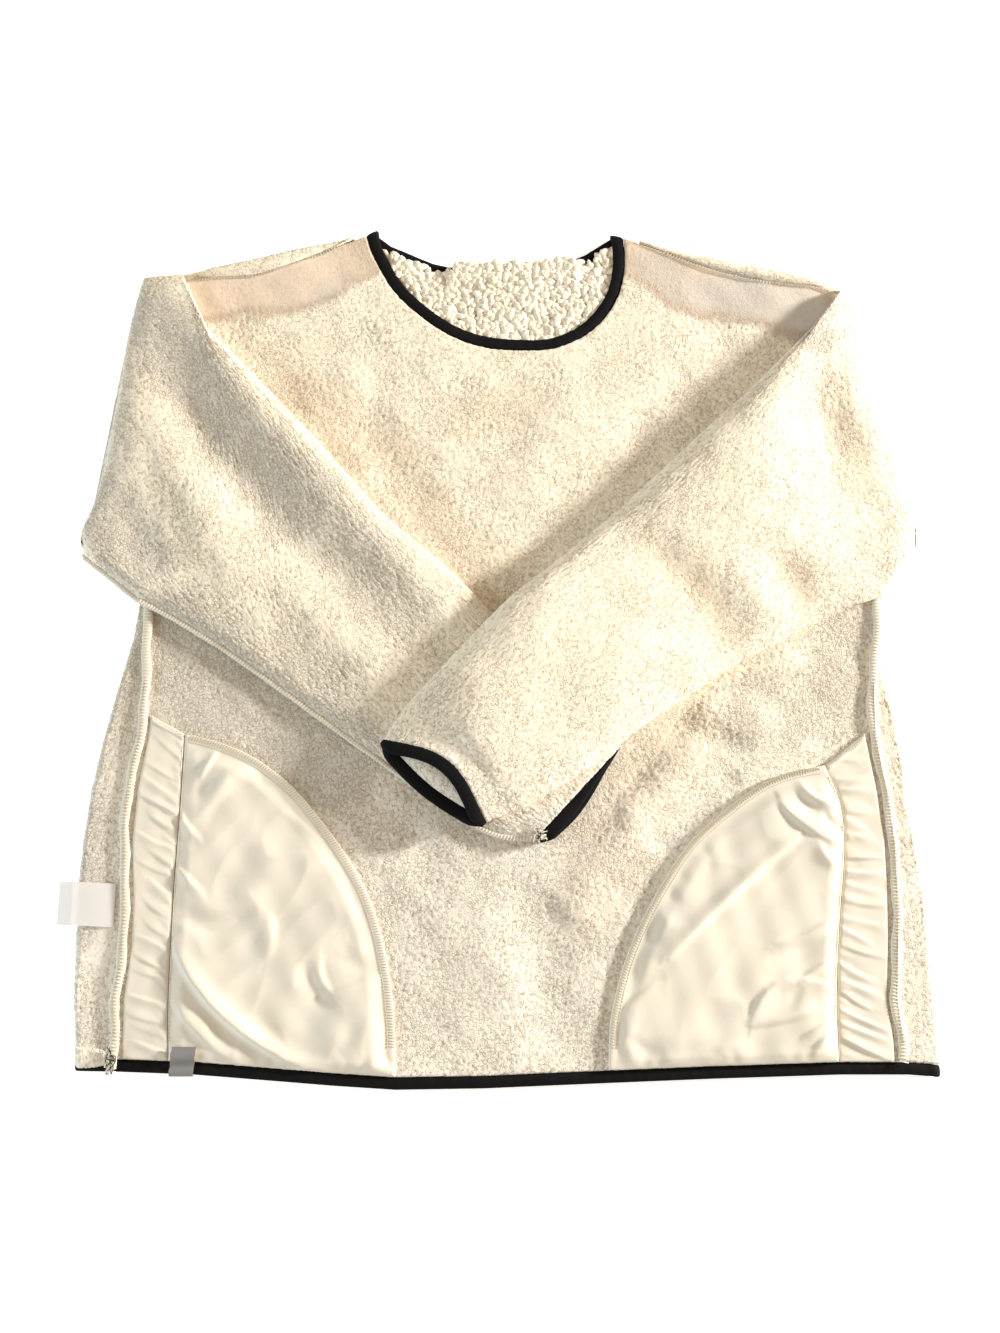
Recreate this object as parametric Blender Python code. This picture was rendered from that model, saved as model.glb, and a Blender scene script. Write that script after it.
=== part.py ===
"""Sherpa fleece pullover, turned inside out and laid flat, front up, with both sleeves folded over the front."""

import bpy
import numpy as np
from mathutils import Vector
from mathutils.geometry import delaunay_2d_cdt

# Lengths in this file are millimetres, and Blender gets metres
MM = 0.001
# Middle of the laid garment in the frame of the tables below
MIDDLE_X = -1.2
MIDDLE_Y = 27.0

# Cloth
WALL = 5.0
GAP = 0.3
BACK_TOP = WALL
FRONT_LOW = BACK_TOP + GAP
FRONT_TOP = FRONT_LOW + WALL
LYING = FRONT_TOP + GAP
JERSEY = 1.6
FOLD_ROLL = 4.5
SEAM_ROLL = 0.5

# Seam ridges: the two raw edges stand up beside each other
RIDGE_TOP = 14.2
RIDGE_CREST = 15.2
RIDGE_CREST_AT = 2.4
RIDGE_FOOT_AT = 5.0
SHOULDER_RIDGE = 11.4

# Folded bindings
NECK_BIND_WIDE = 10.0
HEM_BIND_WIDE = 9.0
CUFF_BIND_WIDE = 9.0
BIND_THICK = 4.8
BIND_BACK_Z = 2.4
BIND_FRONT_Z = 7.7
BIND_CHAMFER = 1.1

# Sleeves
SLEEVE_WALL = 4.2
SLEEVE_SLACK = 0.7
RIGHT_OVER_LEFT = 22.8
RUNG_PITCH = 46
RIM_RADIUS = 6.0
BOW_FADES = 0.5
# Share of the lips' shift at the last sections before the cuff
LIP_PULL = (0.12, 0.5, 1.0)

# Body sections, up from the hem: y, left fold, left side seam, right side seam, right fold
BODY = (
    (-300, -319, -289, 301, 330),
    (-260, -323, -290, 298, 330),
    (-220, -324, -286, 301, 329),
    (-180, -325, -287, 303, 327),
    (-140, -323, -290, 303, 323),
    (-100, -319, -288, 299, 319),
    (-60, -312, -282, 293, 315),
    (-20, -303, -280, 294, 308),
    (20, -293, -280, 299, 306),
)

# Top edge of the hem binding: x, y
HEM = (
    (-340, -303),
    (-284, -304),
    (-229, -306),
    (-164, -311),
    (-126, -314),
    (-78, -317),
    (-12, -316),
    (84, -312),
    (160, -309),
    (255, -306),
    (305, -306),
    (345, -309),
)

# Shoulders, from the armhole to the neck: x, y of the fold, y of the seam
LEFT_SHOULDER = (
    (-240, 346, 335),
    (-205, 354, 337),
    (-175, 362, 347),
    (-150, 367, 357.5),
)
RIGHT_SHOULDER = (
    (264, 335, 327),
    (235, 343, 329.5),
    (208, 348.5, 334),
    (180, 354.5, 341.5),
    (155, 359.5, 351),
)
LEFT_SHOULDER_END = (-124, 372.1)
RIGHT_SHOULDER_END = (118, 368.6)

# Armhole, then the edge that the sleeve still covers, down from the shoulder: x, y
LEFT_ARMHOLE = (
    (-268, 336.5),
    (-256, 300),
    (-248, 262),
    (-245, 222),
    (-247, 182),
    (-254, 145),
    (-266, 115),
    (-285, 95),
    (-289, 52),
)
RIGHT_ARMHOLE = (
    (288, 323),
    (273, 296),
    (265, 260),
    (262, 222),
    (264, 182),
    (272, 146),
    (285, 116),
    (304, 95),
    (307, 54),
)
# Where the shoulder seam and the side seam meet the armhole, as a share of its first and seventh spans
SEAM_AT_SHOULDER = 0.14
SEAM_AT_UNDERARM = 0.82

# Neck, seen from above: edge of the front panel along the binding, and the free edge at the back: x, y
NECK_FRONT = (
    (-114, 373),
    (-111, 362),
    (-105, 349),
    (-95, 330),
    (-83, 314),
    (-63, 296),
    (-39, 280),
    (-10, 270.5),
    (23, 268),
    (43, 269),
    (60, 275),
    (76, 285),
    (90, 300),
    (100, 318),
    (105, 338),
    (106, 356),
    (105, 371),
)
NECK_BACK = (
    (-103, 375),
    (-93, 367),
    (-77, 360),
    (-60, 352),
    (-43, 347.5),
    (-2, 348),
    (41, 350),
    (57, 352.5),
    (71, 358),
    (83, 366),
    (94, 373.5),
)

# Fold of each sleeve, down from the shoulder: x, y, one row for each armhole row
LEFT_SLEEVE_FOLD = (
    (-300, 334),
    (-306, 304),
    (-311, 272),
    (-314, 236),
    (-318, 200),
    (-322, 165),
    (-329, 135),
    (-338, 107),
    (-336, 90),
)
RIGHT_SLEEVE_FOLD = (
    (296, 320),
    (300, 296),
    (303, 268),
    (308, 240),
    (316, 212),
    (323, 182),
    (329, 154),
    (336, 118),
    (334, 84),
)
# Sleeve sections from the body to the cuff: upper edge x, y, lower edge x, y, air inside at the middle
LEFT_SLEEVE = (
    (-244, 286, -262, 38, 2.5),
    (-194, 234, -221, 13, 3.0),
    (-144, 180, -178, -17, 3.5),
    (-95, 124, -135, -48, 2.5),
    (-47, 82, -90, -80, 2.0),
    (0, 34, -45, -111, 2.0),
    (50, -20, -5, -135, 2.0),
    (93, -69, 28, -139, 2.0),
)
RIGHT_SLEEVE = (
    (261, 287, 276, 44, 5.0),
    (208, 233, 232, 22, 7.0),
    (157, 185, 188, -1, 7.0),
    (107, 137, 146, -29, 6.0),
    (57, 92, 106, -57, 5.0),
    (8, 50, 66, -88, 5.0),
    (-40, -1, 26, -113, 6.0),
    (-73, -38, 5, -122, 7.0),
    (-90, -64, -10, -128, 9.0),
)
LEFT_CUFF_AXIS = (0.733, -0.680)
RIGHT_CUFF_AXIS = (-0.636, -0.771)
# How far the middle of a cuff's upper lip draws back, and its lower lip reaches out
LEFT_CUFF_LIPS = (0.0, 2.5)
RIGHT_CUFF_LIPS = (12.0, 4.0)

# Pocket bags: the curved edge, from the top of the opening seam to the hem: x, y
LEFT_BAG_CURVE = (
    (-247, -57),
    (-225, -62),
    (-195, -74),
    (-163, -97),
    (-135, -129),
    (-111, -163),
    (-95, -197),
    (-85, -235),
    (-80, -268),
    (-78, -300),
)
RIGHT_BAG_CURVE = (
    (253, -82),
    (226, -87),
    (202, -97),
    (174, -117),
    (146, -142),
    (123, -175),
    (104, -209),
    (91, -242),
    (83, -275),
    (81, -300),
)
# Seam between bag and facing, down from the top: x, y
LEFT_BAG_SEAM = ((-247, -57), (-248, -110), (-250, -186), (-250, -260), (-248, -300))
RIGHT_BAG_SEAM = ((253, -82), (264, -112), (265, -150), (259, -200), (254, -255), (253, -298))
LEFT_FACING_TOP = -42
RIGHT_FACING_TOP = -56
PUCKERS = 15
PUCKER_HIGH = 2.6

# Soft creases: x and y of both ends, half-width, height (a trough is negative)
FRONT_CREASES = (
    (-155, 225, -122, 238, 26, 1.2),
    (-108, 197, -76, 140, 30, -1.4),
    (20, 150, 60, 215, 34, 1.6),
    (118, 205, 185, 270, 30, -1.2),
    (200, -48, 165, -40, 26, 2.2),
    (150, -72, 105, -118, 20, 2.4),
    (175, -95, 128, -140, 18, -1.6),
    (98, -135, 60, -190, 26, 1.6),
    (-40, -190, 5, -250, 30, 1.4),
    (-60, -150, -30, -205, 24, -1.4),
    (30, -200, 40, -280, 26, -1.2),
)
LEFT_SLEEVE_CREASES = (
    (-268, 262, -225, 213, 24, -3.0),
    (-225, 213, -141, 124, 24, -3.4),
    (-141, 124, -100, 84, 22, -2.0),
    (-262, 292, -120, 138, 16, 2.2),
    (-235, 120, -150, 40, 34, 2.0),
    (-290, 150, -260, 100, 26, -1.8),
)
RIGHT_SLEEVE_CREASES = (
    (280, 236, 252, 170, 24, -3.6),
    (300, 140, 272, 122, 20, -2.4),
    (262, 96, 222, 62, 26, 2.6),
    (226, 72, 190, 96, 20, -2.4),
    (146, 96, 112, 40, 26, -3.2),
    (112, 40, 46, -20, 26, -2.6),
    (230, 214, 60, 66, 20, 2.4),
    (48, -56, -20, -60, 24, -1.6),
)
LEFT_BAG_CREASES = (
    (-226, -186, -152, -284, 14, 2.6),
    (-232, -150, -200, -212, 14, -0.9),
    (-205, -96, -150, -118, 20, 1.6),
    (-178, -140, -128, -196, 16, 2.0),
    (-140, -214, -104, -276, 16, 1.8),
    (-226, -250, -196, -290, 12, 2.2),
    (-186, -256, -166, -290, 10, -0.8),
)
RIGHT_BAG_CREASES = (
    (226, -130, 132, -226, 13, 2.8),
    (238, -168, 170, -256, 16, 1.8),
    (206, -110, 168, -138, 12, 1.6),
    (120, -190, 100, -262, 12, 2.2),
    (244, -236, 196, -284, 13, 2.4),
    (156, -236, 120, -288, 14, 1.6),
    (246, -108, 252, -150, 9, 2.4),
)

# Grey tab over the hem: x of its middle, width, thickness
TAB_X = -237
TAB_WIDE = 18
TAB_THICK = 1.2
# Doubled label out of the left side seam: y of its middle, width, thickness, reach past the seam
LABEL_Y = -190
LABEL_WIDE = 33
LABEL_THICK = 1.0
LABEL_FROM = -294.5
LABEL_TO = -338.5

FLEECE = (0.86, 0.79, 0.66)
CURLS = (0.88, 0.81, 0.68)
JERSEY_COLOUR = (0.88, 0.84, 0.72)
BLACK = (0.012, 0.011, 0.013)
GREY = (0.33, 0.33, 0.35)
SATIN = (0.86, 0.86, 0.86)


def column(table, index):
    return np.array([row[index] for row in table], float)


def plan(rows):
    return np.array(rows, float)[:, :2]


def hem_y(x):
    return np.interp(x, column(HEM, 0), column(HEM, 1))


def hem_between(start, end):
    """Hem points from start to end, with a corner at each row of the table."""
    inside = [x for x in column(HEM, 0) if start + 2 < x < end - 2]
    return np.array([(x, float(hem_y(x))) for x in [start, *inside, end]])


def smooth(points, pitch):
    """Points about one pitch apart on a rounded curve through the given points."""
    points = np.array(points, float)
    ends = np.vstack([2 * points[0] - points[1], points, 2 * points[-1] - points[-2]])
    out = [points[0]]
    for before, here, there, after in zip(ends, ends[1:], ends[2:], ends[3:]):
        steps = max(1, round(float(np.linalg.norm(there - here)) / pitch))
        for step in range(1, steps + 1):
            t = step / steps
            line = here * 2 + (there - before) * t
            bend = (2 * before - 5 * here + 4 * there - after) * t**2
            turn = (3 * here - before - 3 * there + after) * t**3
            out.append((line + bend + turn) / 2)
    return np.array(out)


def resample(points, count):
    """The polyline cut into evenly spaced points."""
    points = np.array(points, float)
    steps = np.linalg.norm(np.diff(points, axis=0), axis=1)
    along = np.concatenate([[0], np.cumsum(steps)])
    at = np.linspace(0, along[-1], count)
    return np.column_stack([np.interp(at, along, points[:, axis]) for axis in range(points.shape[1])])


def left_of(points):
    """Mitred unit offsets to the left of an open polyline."""
    steps = np.diff(points, axis=0)
    steps /= np.linalg.norm(steps, axis=1)[:, None]
    sides = np.column_stack([-steps[:, 1], steps[:, 0]])
    before = np.vstack([sides[:1], sides])
    after = np.vstack([sides, sides[-1:]])
    return (before + after) / (1 + (before * after).sum(axis=1))[:, None]


def inward(edge):
    """Mitred unit offsets to the inside of a closed outline that runs anticlockwise."""
    steps = np.roll(edge, -1, axis=0) - edge
    steps /= np.linalg.norm(steps, axis=1)[:, None]
    sides = np.column_stack([-steps[:, 1], steps[:, 0]])
    before = np.roll(sides, 1, axis=0)
    cosine = np.maximum((before * sides).sum(axis=1), -0.5)
    return (before + sides) / (1 + cosine)[:, None]


def to_segment(x, y, x0, y0, x1, y1):
    """Distance in plan from points to a segment."""
    dx, dy = x1 - x0, y1 - y0
    t = np.clip(((x - x0) * dx + (y - y0) * dy) / (dx * dx + dy * dy), 0, 1)
    return np.hypot(x - x0 - t * dx, y - y0 - t * dy)


def creased(x, y, table):
    """Height that the creases of a table add: each is a soft mound round a segment."""
    total = np.zeros(np.shape(x))
    for x0, y0, x1, y1, half, high in table:
        near = np.clip(1 - (to_segment(x, y, x0, y0, x1, y1) / half) ** 2, 0, None)
        total = total + high * near**2
    return total


def ease(value):
    value = np.clip(value, 0, 1)
    return value * value * (3 - 2 * value)


def inside(x, y, outline):
    """Whether points lie inside an outline."""
    x, y = np.atleast_1d(x), np.atleast_1d(y)
    found = np.zeros(x.shape, bool)
    for (ax, ay), (bx, by) in zip(outline, np.roll(outline, -1, axis=0)):
        crosses = (ay > y) != (by > y)
        rise = by - ay if by != ay else 1.0
        found ^= crosses & (x < ax + (y - ay) * (bx - ax) / rise)
    return found


def to_outline(x, y, outline):
    """Distance in plan to a closed outline, negative inside it."""
    near = np.full(np.shape(np.atleast_1d(x)), 1e9)
    for (ax, ay), (bx, by) in zip(outline, np.roll(outline, -1, axis=0)):
        near = np.minimum(near, to_segment(x, y, ax, ay, bx, by))
    return np.where(inside(x, y, outline), -near, near)


def triangles(points, count, lines=()):
    """Triangles that fill the outline made by the first count points."""
    edges = [(i, (i + 1) % count) for i in range(count)]
    for line in lines:
        edges += list(zip(line[:-1], line[1:]))
    made = delaunay_2d_cdt([Vector(p) for p in points], edges, [], 1, 1e-6)
    verts, faces, source = made[0], made[2], made[3]
    if len(verts) != len(points):
        raise ValueError("two lines of a panel cross")
    ids = [found[0] for found in source]
    out = []
    for face in faces:
        a, b, c = (np.array(verts[i]) for i in face)
        turn = (b[0] - a[0]) * (c[1] - a[1]) - (b[1] - a[1]) * (c[0] - a[0])
        face = [ids[i] for i in face]
        out.append(face if turn > 0 else face[::-1])
    return out


def panel(edge, roll, top, low, rails=(), inner=(), angles=(45, 90, 135)):
    """A flat-lying panel: the outline with its roll and top heights, rails and inner points as x, y, z."""
    edge = np.array(edge, float)
    count = len(edge)
    inset = edge + inward(edge) * np.array(roll, float)[:, None]
    heights = list(np.array(top, float) * np.ones(count))
    points = [tuple(p) for p in inset]
    lines = []
    for start, rail, end in rails:
        line = [start] if start is not None else []
        for x, y, z in rail:
            line.append(len(points))
            points.append((x, y))
            heights.append(z)
        lines.append(line + ([end] if end is not None else []))
    for x, y, z in inner:
        points.append((x, y))
        heights.append(z)
    faces = triangles(points, count, lines)
    verts = [(x, y, z) for (x, y), z in zip(points, heights)]
    rows = [list(range(count))]
    middle = (np.array(heights[:count]) + low) / 2
    half = (np.array(heights[:count]) - low) / 2
    for angle in np.radians(angles):
        rows.append(list(range(len(verts), len(verts) + count)))
        place = inset + (edge - inset) * np.sin(angle)
        height = middle + half * np.cos(angle)
        verts += [(x, y, z) for (x, y), z in zip(place, height)]
    rows.append(list(range(len(verts), len(verts) + count)))
    verts += [(x, y, low) for x, y in inset]
    for upper, lower in zip(rows, rows[1:]):
        for i in range(count):
            j = (i + 1) % count
            faces.append([upper[j], upper[i], lower[i], lower[j]])
    faces += [[rows[-1][i] for i in face[::-1]] for face in triangles([tuple(p) for p in inset], count)]
    return np.array(verts), faces


def tube(rings, ends="open"):
    """Rings of equal count joined in turn: ends are joined to each other, capped flat or capped across."""
    rings = [np.array(ring, float) for ring in rings]
    size = len(rings[0])
    verts = np.vstack(rings)
    faces = []
    last = len(rings) if ends == "open" else len(rings) - 1
    for i in range(last):
        a, b = i * size, ((i + 1) % len(rings)) * size
        for k in range(size):
            m = (k + 1) % size
            faces.append([a + k, a + m, b + m, b + k])
    if ends == "flat":
        faces.append(list(range(size))[::-1])
        faces.append([(len(rings) - 1) * size + k for k in range(size)])
    if ends == "across":
        row = (size - 6) // 2
        for base, turned in ((0, True), ((len(rings) - 1) * size, False)):
            cap = [[k, k + 1, 2 * row + 1 - k, 2 * row + 2 - k] for k in range(row - 1)]
            cap.append([row - 1, row, row + 1, row + 2, row + 3])
            cap.append([2 * row + 2, 2 * row + 3, 2 * row + 4, 2 * row + 5, 0])
            faces += [[base + k for k in (face[::-1] if turned else face)] for face in cap]
    return verts, outward(verts, faces)


def outward(verts, faces):
    """The faces, all turned round where they enclose a negative volume."""
    volume = 0.0
    for face in faces:
        a = verts[face[0]]
        for i, j in zip(face[1:], face[2:]):
            volume += float(np.dot(a, np.cross(verts[i], verts[j])))
    return faces if volume > 0 else [face[::-1] for face in faces]


def hexes(outline, pitch, clear):
    """Points on a triangular grid inside an outline, some way clear of it."""
    low, high = outline.min(axis=0), outline.max(axis=0)
    spots = []
    for row, y in enumerate(np.arange(low[1], high[1], pitch * 0.866)):
        for x in np.arange(low[0] + (row % 2) * pitch / 2, high[0], pitch):
            spots.append((x, y))
    spots = np.array(spots)
    away = to_outline(spots[:, 0], spots[:, 1], outline)
    return spots[away < -clear]


# Seams that both body panels share

def share(table, span, part):
    a, b = np.array(table[span], float), np.array(table[span + 1], float)
    return a + (b - a) * part


left_top, right_top = (share(t, 0, SEAM_AT_SHOULDER) for t in (LEFT_ARMHOLE, RIGHT_ARMHOLE))
left_under, right_under = (share(t, 6, SEAM_AT_UNDERARM) for t in (LEFT_ARMHOLE, RIGHT_ARMHOLE))
body_up = sorted(BODY)
left_hem_x, right_hem_x = body_up[0][2], body_up[0][3]


def side_seam(index, under):
    """A side seam from the hem up to the armhole."""
    rows = [(row[index], row[0]) for row in body_up[1:]]
    x = body_up[0][index]
    turn = under + np.array((-1.2 if index == 2 else 1.2, -34.0))
    low = float(hem_y(x)) + GAP
    return np.vstack([[(x, low), (x, low + 15)], rows, [turn, under]])


left_side = side_seam(2, left_under)
right_side = side_seam(3, right_under)
left_shoulder = np.vstack([[left_top], [(x, seam) for x, _, seam in LEFT_SHOULDER], [LEFT_SHOULDER_END]])
right_shoulder = np.vstack([[right_top], [(x, seam) for x, _, seam in RIGHT_SHOULDER], [RIGHT_SHOULDER_END]])


def ridge(y):
    """Share of the side seam's ridge that stands at a height of the body: none at the hem and under a sleeve."""
    return float(ease((y + 302) / 14) * ease((19 - y) / 30))


# Neck binding: stations round the ring, each with its middle, its side towards the free edge and its face

def neck_ring():
    """Middles, sides to the free edge, faces and layer of the stations round the neck."""
    half = NECK_BIND_WIDE / 2
    front = resample(smooth(NECK_FRONT, 8), 27)
    side = left_of(front)
    front = front + side * (half + GAP)
    back = resample(smooth(NECK_BACK[::-1], 8), 17)
    back_side = -left_of(back)
    back = back - back_side * half
    stations = [(x, y, BIND_FRONT_Z, w, (0, 0, 1), 1) for (x, y), w in zip(front, side)]
    radius = (BIND_FRONT_Z - BIND_BACK_Z) / 2
    middle_z = (BIND_FRONT_Z + BIND_BACK_Z) / 2

    def turn(start, end, w0, w1):
        out = []
        for angle in (45, 90, 135):
            part = angle / 180
            c, s = np.cos(np.radians(angle)), np.sin(np.radians(angle))
            w = w0 + (w1 - w0) * part
            place = start + (end - start) * part
            tip = np.array((0.0, 1.0))
            x, y = place + tip * radius * s
            out.append((x, y, middle_z + radius * c, w / np.linalg.norm(w), (0, s, c), 0))
        return out

    stations += turn(front[-1], back[0], side[-1], back_side[0])
    stations += [(x, y, BIND_BACK_Z, w, (0, 0, -1), -1) for (x, y), w in zip(back, back_side)]
    closing = turn(front[0], back[-1], side[0], back_side[-1])[::-1]
    return stations + closing


def band_section(middle, side, face, wide):
    """Eight corners of a folded binding: flat on both faces, with its long edges taken off."""
    half, thin = wide / 2, BIND_THICK / 2
    cut = BIND_CHAMFER
    corners = (
        (half - cut, thin),
        (half, thin - cut),
        (half, cut - thin),
        (half - cut, -thin),
        (0.4 - half, -thin),
        (-half, 0.4 - thin),
        (-half, thin - 0.4),
        (0.4 - half, thin),
    )
    return [middle + side * w + face * n for w, n in corners]


neck = neck_ring()


def neck_binding():
    rings = []
    for x, y, z, side, face, _ in neck:
        side = np.array((side[0], side[1], 0.0))
        rings.append(band_section(np.array((x, y, z)), side, np.array(face, float), NECK_BIND_WIDE))
    return tube(rings)


def neck_edge(layer):
    """The edge of a body panel along the binding, on the front or the back layer, from right to left."""
    reach = NECK_BIND_WIDE / 2 + GAP
    rows = [np.array((x, y)) - np.array(side) * reach for x, y, _, side, _, kind in neck if kind == layer]
    return np.array(rows)


def hem_binding():
    """A flat ring: along the front hem, round the fold, back along the back hem, and round again."""
    radius = (BIND_FRONT_Z - BIND_BACK_Z) / 2
    middle_z = (BIND_FRONT_Z + BIND_BACK_Z) / 2
    reach = radius + BIND_THICK / 2
    left, right = body_up[0][1] + reach, body_up[0][4] - reach
    rows = hem_between(left, right)
    front = []
    for (ax, ay), (bx, by) in zip(rows, rows[1:]):
        cuts = max(1, round((bx - ax) / 34))
        front += [(ax + (bx - ax) * k / cuts, ay + (by - ay) * k / cuts) for k in range(cuts)]
    front.append(tuple(rows[-1]))
    side = np.array((0.0, -1.0, 0.0))
    drop = HEM_BIND_WIDE / 2
    stations = [((x, y - drop, BIND_FRONT_Z), (0, 0, 1)) for x, y in front]
    for x, sign in ((right, 1), (left, -1)):
        y = float(hem_y(x + sign * reach)) - drop
        for angle in (45, 90, 135):
            c, s = np.cos(np.radians(angle)), np.sin(np.radians(angle))
            c = c * sign
            stations.append(((x + sign * radius * s, y, middle_z + radius * c), (sign * s, 0, c)))
        if sign == 1:
            stations += [((x, y - drop, BIND_BACK_Z), (0, 0, -1)) for x, y in front[::-1]]
    rings = [band_section(np.array(p), side, np.array(n, float), HEM_BIND_WIDE) for p, n in stations]
    return tube(rings)


def fold_line(index, seam_index):
    """A side fold up from the hem, each point with its roll."""
    x = body_up[0][index]
    points = [(x, float(hem_y(x)) + GAP)] + [(row[index], row[0]) for row in body_up]
    rolls = [SEAM_ROLL] + [min(FOLD_ROLL, abs(row[index] - row[seam_index]) * 0.4) for row in body_up]
    return points, rolls


def back_panel():
    """The back: 5 mm in the middle, doubled where its sides and shoulders fold round to the front."""
    edge, roll, top = [], [], []

    def add(points, rolls, heights):
        for i, point in enumerate(points):
            edge.append(tuple(point))
            roll.append(rolls[i] if np.ndim(rolls) else rolls)
            top.append(heights[i] if np.ndim(heights) else heights)

    wall = 0.7
    left_points, left_rolls = fold_line(1, 2)
    right_points, right_rolls = fold_line(4, 3)
    hem = hem_between(left_side[0][0], right_side[0][0]) + np.array((0, GAP))
    add(left_points[:1], left_rolls[:1], FRONT_TOP)
    add([(left_side[0][0] - wall, hem[0][1])], SEAM_ROLL, FRONT_TOP)
    left_low = len(edge)
    add(hem, SEAM_ROLL, BACK_TOP)
    right_low = len(edge) - 1
    add([(right_side[0][0] + wall, hem[-1][1])], SEAM_ROLL, FRONT_TOP)
    add(right_points, right_rolls, FRONT_TOP)
    add([RIGHT_ARMHOLE[8]], 1.2, FRONT_TOP)
    add([RIGHT_ARMHOLE[7]], SEAM_ROLL, FRONT_TOP)
    add([share(RIGHT_ARMHOLE, 6, SEAM_AT_UNDERARM + 0.04)], SEAM_ROLL, FRONT_TOP)
    right_up = len(edge)
    add([right_under], SEAM_ROLL, BACK_TOP)
    add(RIGHT_ARMHOLE[6:0:-1], SEAM_ROLL, BACK_TOP)
    right_shoulder_start = len(edge)
    add([right_top], SEAM_ROLL, BACK_TOP)
    add([share(RIGHT_ARMHOLE, 0, SEAM_AT_SHOULDER - 0.03)], SEAM_ROLL, FRONT_TOP)
    add([RIGHT_ARMHOLE[0]], SEAM_ROLL, FRONT_TOP)
    add([(x, fold) for x, fold, _ in RIGHT_SHOULDER], 3.0, FRONT_TOP)
    add([np.array(RIGHT_SHOULDER_END) + (1.0, 0.2)], SEAM_ROLL, FRONT_TOP)
    right_shoulder_stop = len(edge)
    add([RIGHT_SHOULDER_END], SEAM_ROLL, BACK_TOP)
    add(neck_edge(-1), SEAM_ROLL, BACK_TOP)
    left_shoulder_stop = len(edge)
    add([LEFT_SHOULDER_END], SEAM_ROLL, BACK_TOP)
    add([np.array(LEFT_SHOULDER_END) - (1.0, 0.2)], SEAM_ROLL, FRONT_TOP)
    add([(x, fold) for x, fold, _ in LEFT_SHOULDER[::-1]], 3.0, FRONT_TOP)
    add([LEFT_ARMHOLE[0]], SEAM_ROLL, FRONT_TOP)
    add([share(LEFT_ARMHOLE, 0, SEAM_AT_SHOULDER - 0.03)], SEAM_ROLL, FRONT_TOP)
    left_shoulder_start = len(edge)
    add([left_top], SEAM_ROLL, BACK_TOP)
    add(LEFT_ARMHOLE[1:7], SEAM_ROLL, BACK_TOP)
    left_up = len(edge)
    add([left_under], SEAM_ROLL, BACK_TOP)
    add([share(LEFT_ARMHOLE, 6, SEAM_AT_UNDERARM + 0.04)], SEAM_ROLL, FRONT_TOP)
    add([LEFT_ARMHOLE[7]], SEAM_ROLL, FRONT_TOP)
    add([LEFT_ARMHOLE[8]], 1.2, FRONT_TOP)
    add(left_points[:0:-1], left_rolls[:0:-1], FRONT_TOP)

    def wall_rails(seam, outside, start, start_outer, end, end_outer, high):
        foot = [(x, y, BACK_TOP) for x, y in seam[1:-1]]
        away = left_of(seam) * outside
        lip = [(x, y, high(y)) for x, y in (seam + away * wall)[1:-1]]
        return [(start, foot, end), (start_outer, lip, end_outer)]

    def side_top(y):
        return FRONT_TOP + (RIDGE_TOP - FRONT_TOP) * ridge(y)

    rails = wall_rails(left_side, 1, left_low, left_low - 1, left_up, left_up + 1, side_top)
    rails += wall_rails(right_side, -1, right_low, right_low + 1, right_up, right_up - 1, side_top)
    rails += wall_rails(
        left_shoulder, 1, left_shoulder_start, left_shoulder_start - 1,
        left_shoulder_stop, left_shoulder_stop + 1, lambda y: SHOULDER_RIDGE,
    )
    rails += wall_rails(
        right_shoulder, -1, right_shoulder_start, right_shoulder_start + 1,
        right_shoulder_stop, right_shoulder_stop - 1, lambda y: SHOULDER_RIDGE,
    )
    for seam, outside, last in ((left_side, 1, -4), (right_side, -1, -5)):
        away = left_of(seam) * outside
        for at, crest in ((RIDGE_CREST_AT + wall, True), (RIDGE_FOOT_AT + wall, False)):
            line = []
            for x, y in (seam + away * at)[1:last]:
                high = (RIDGE_CREST - FRONT_TOP) * ridge(y) if crest else 0
                line.append((x, y, FRONT_TOP + high))
            rails.append((None, line, None))
    bowl = neck_edge(-1)
    spots = hexes(bowl_outline(bowl), 22, 6)
    inner = [(x, y, BACK_TOP) for x, y in spots]
    return panel(edge, roll, top, 0.0, rails, inner)


def bowl_outline(bowl):
    """The part of the back that shows inside the front's neckline."""
    return np.vstack([bowl[::-1], neck_edge(1)[::-1]])


def front_height(x, y):
    return FRONT_TOP + creased(x, y, FRONT_CREASES)


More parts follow.
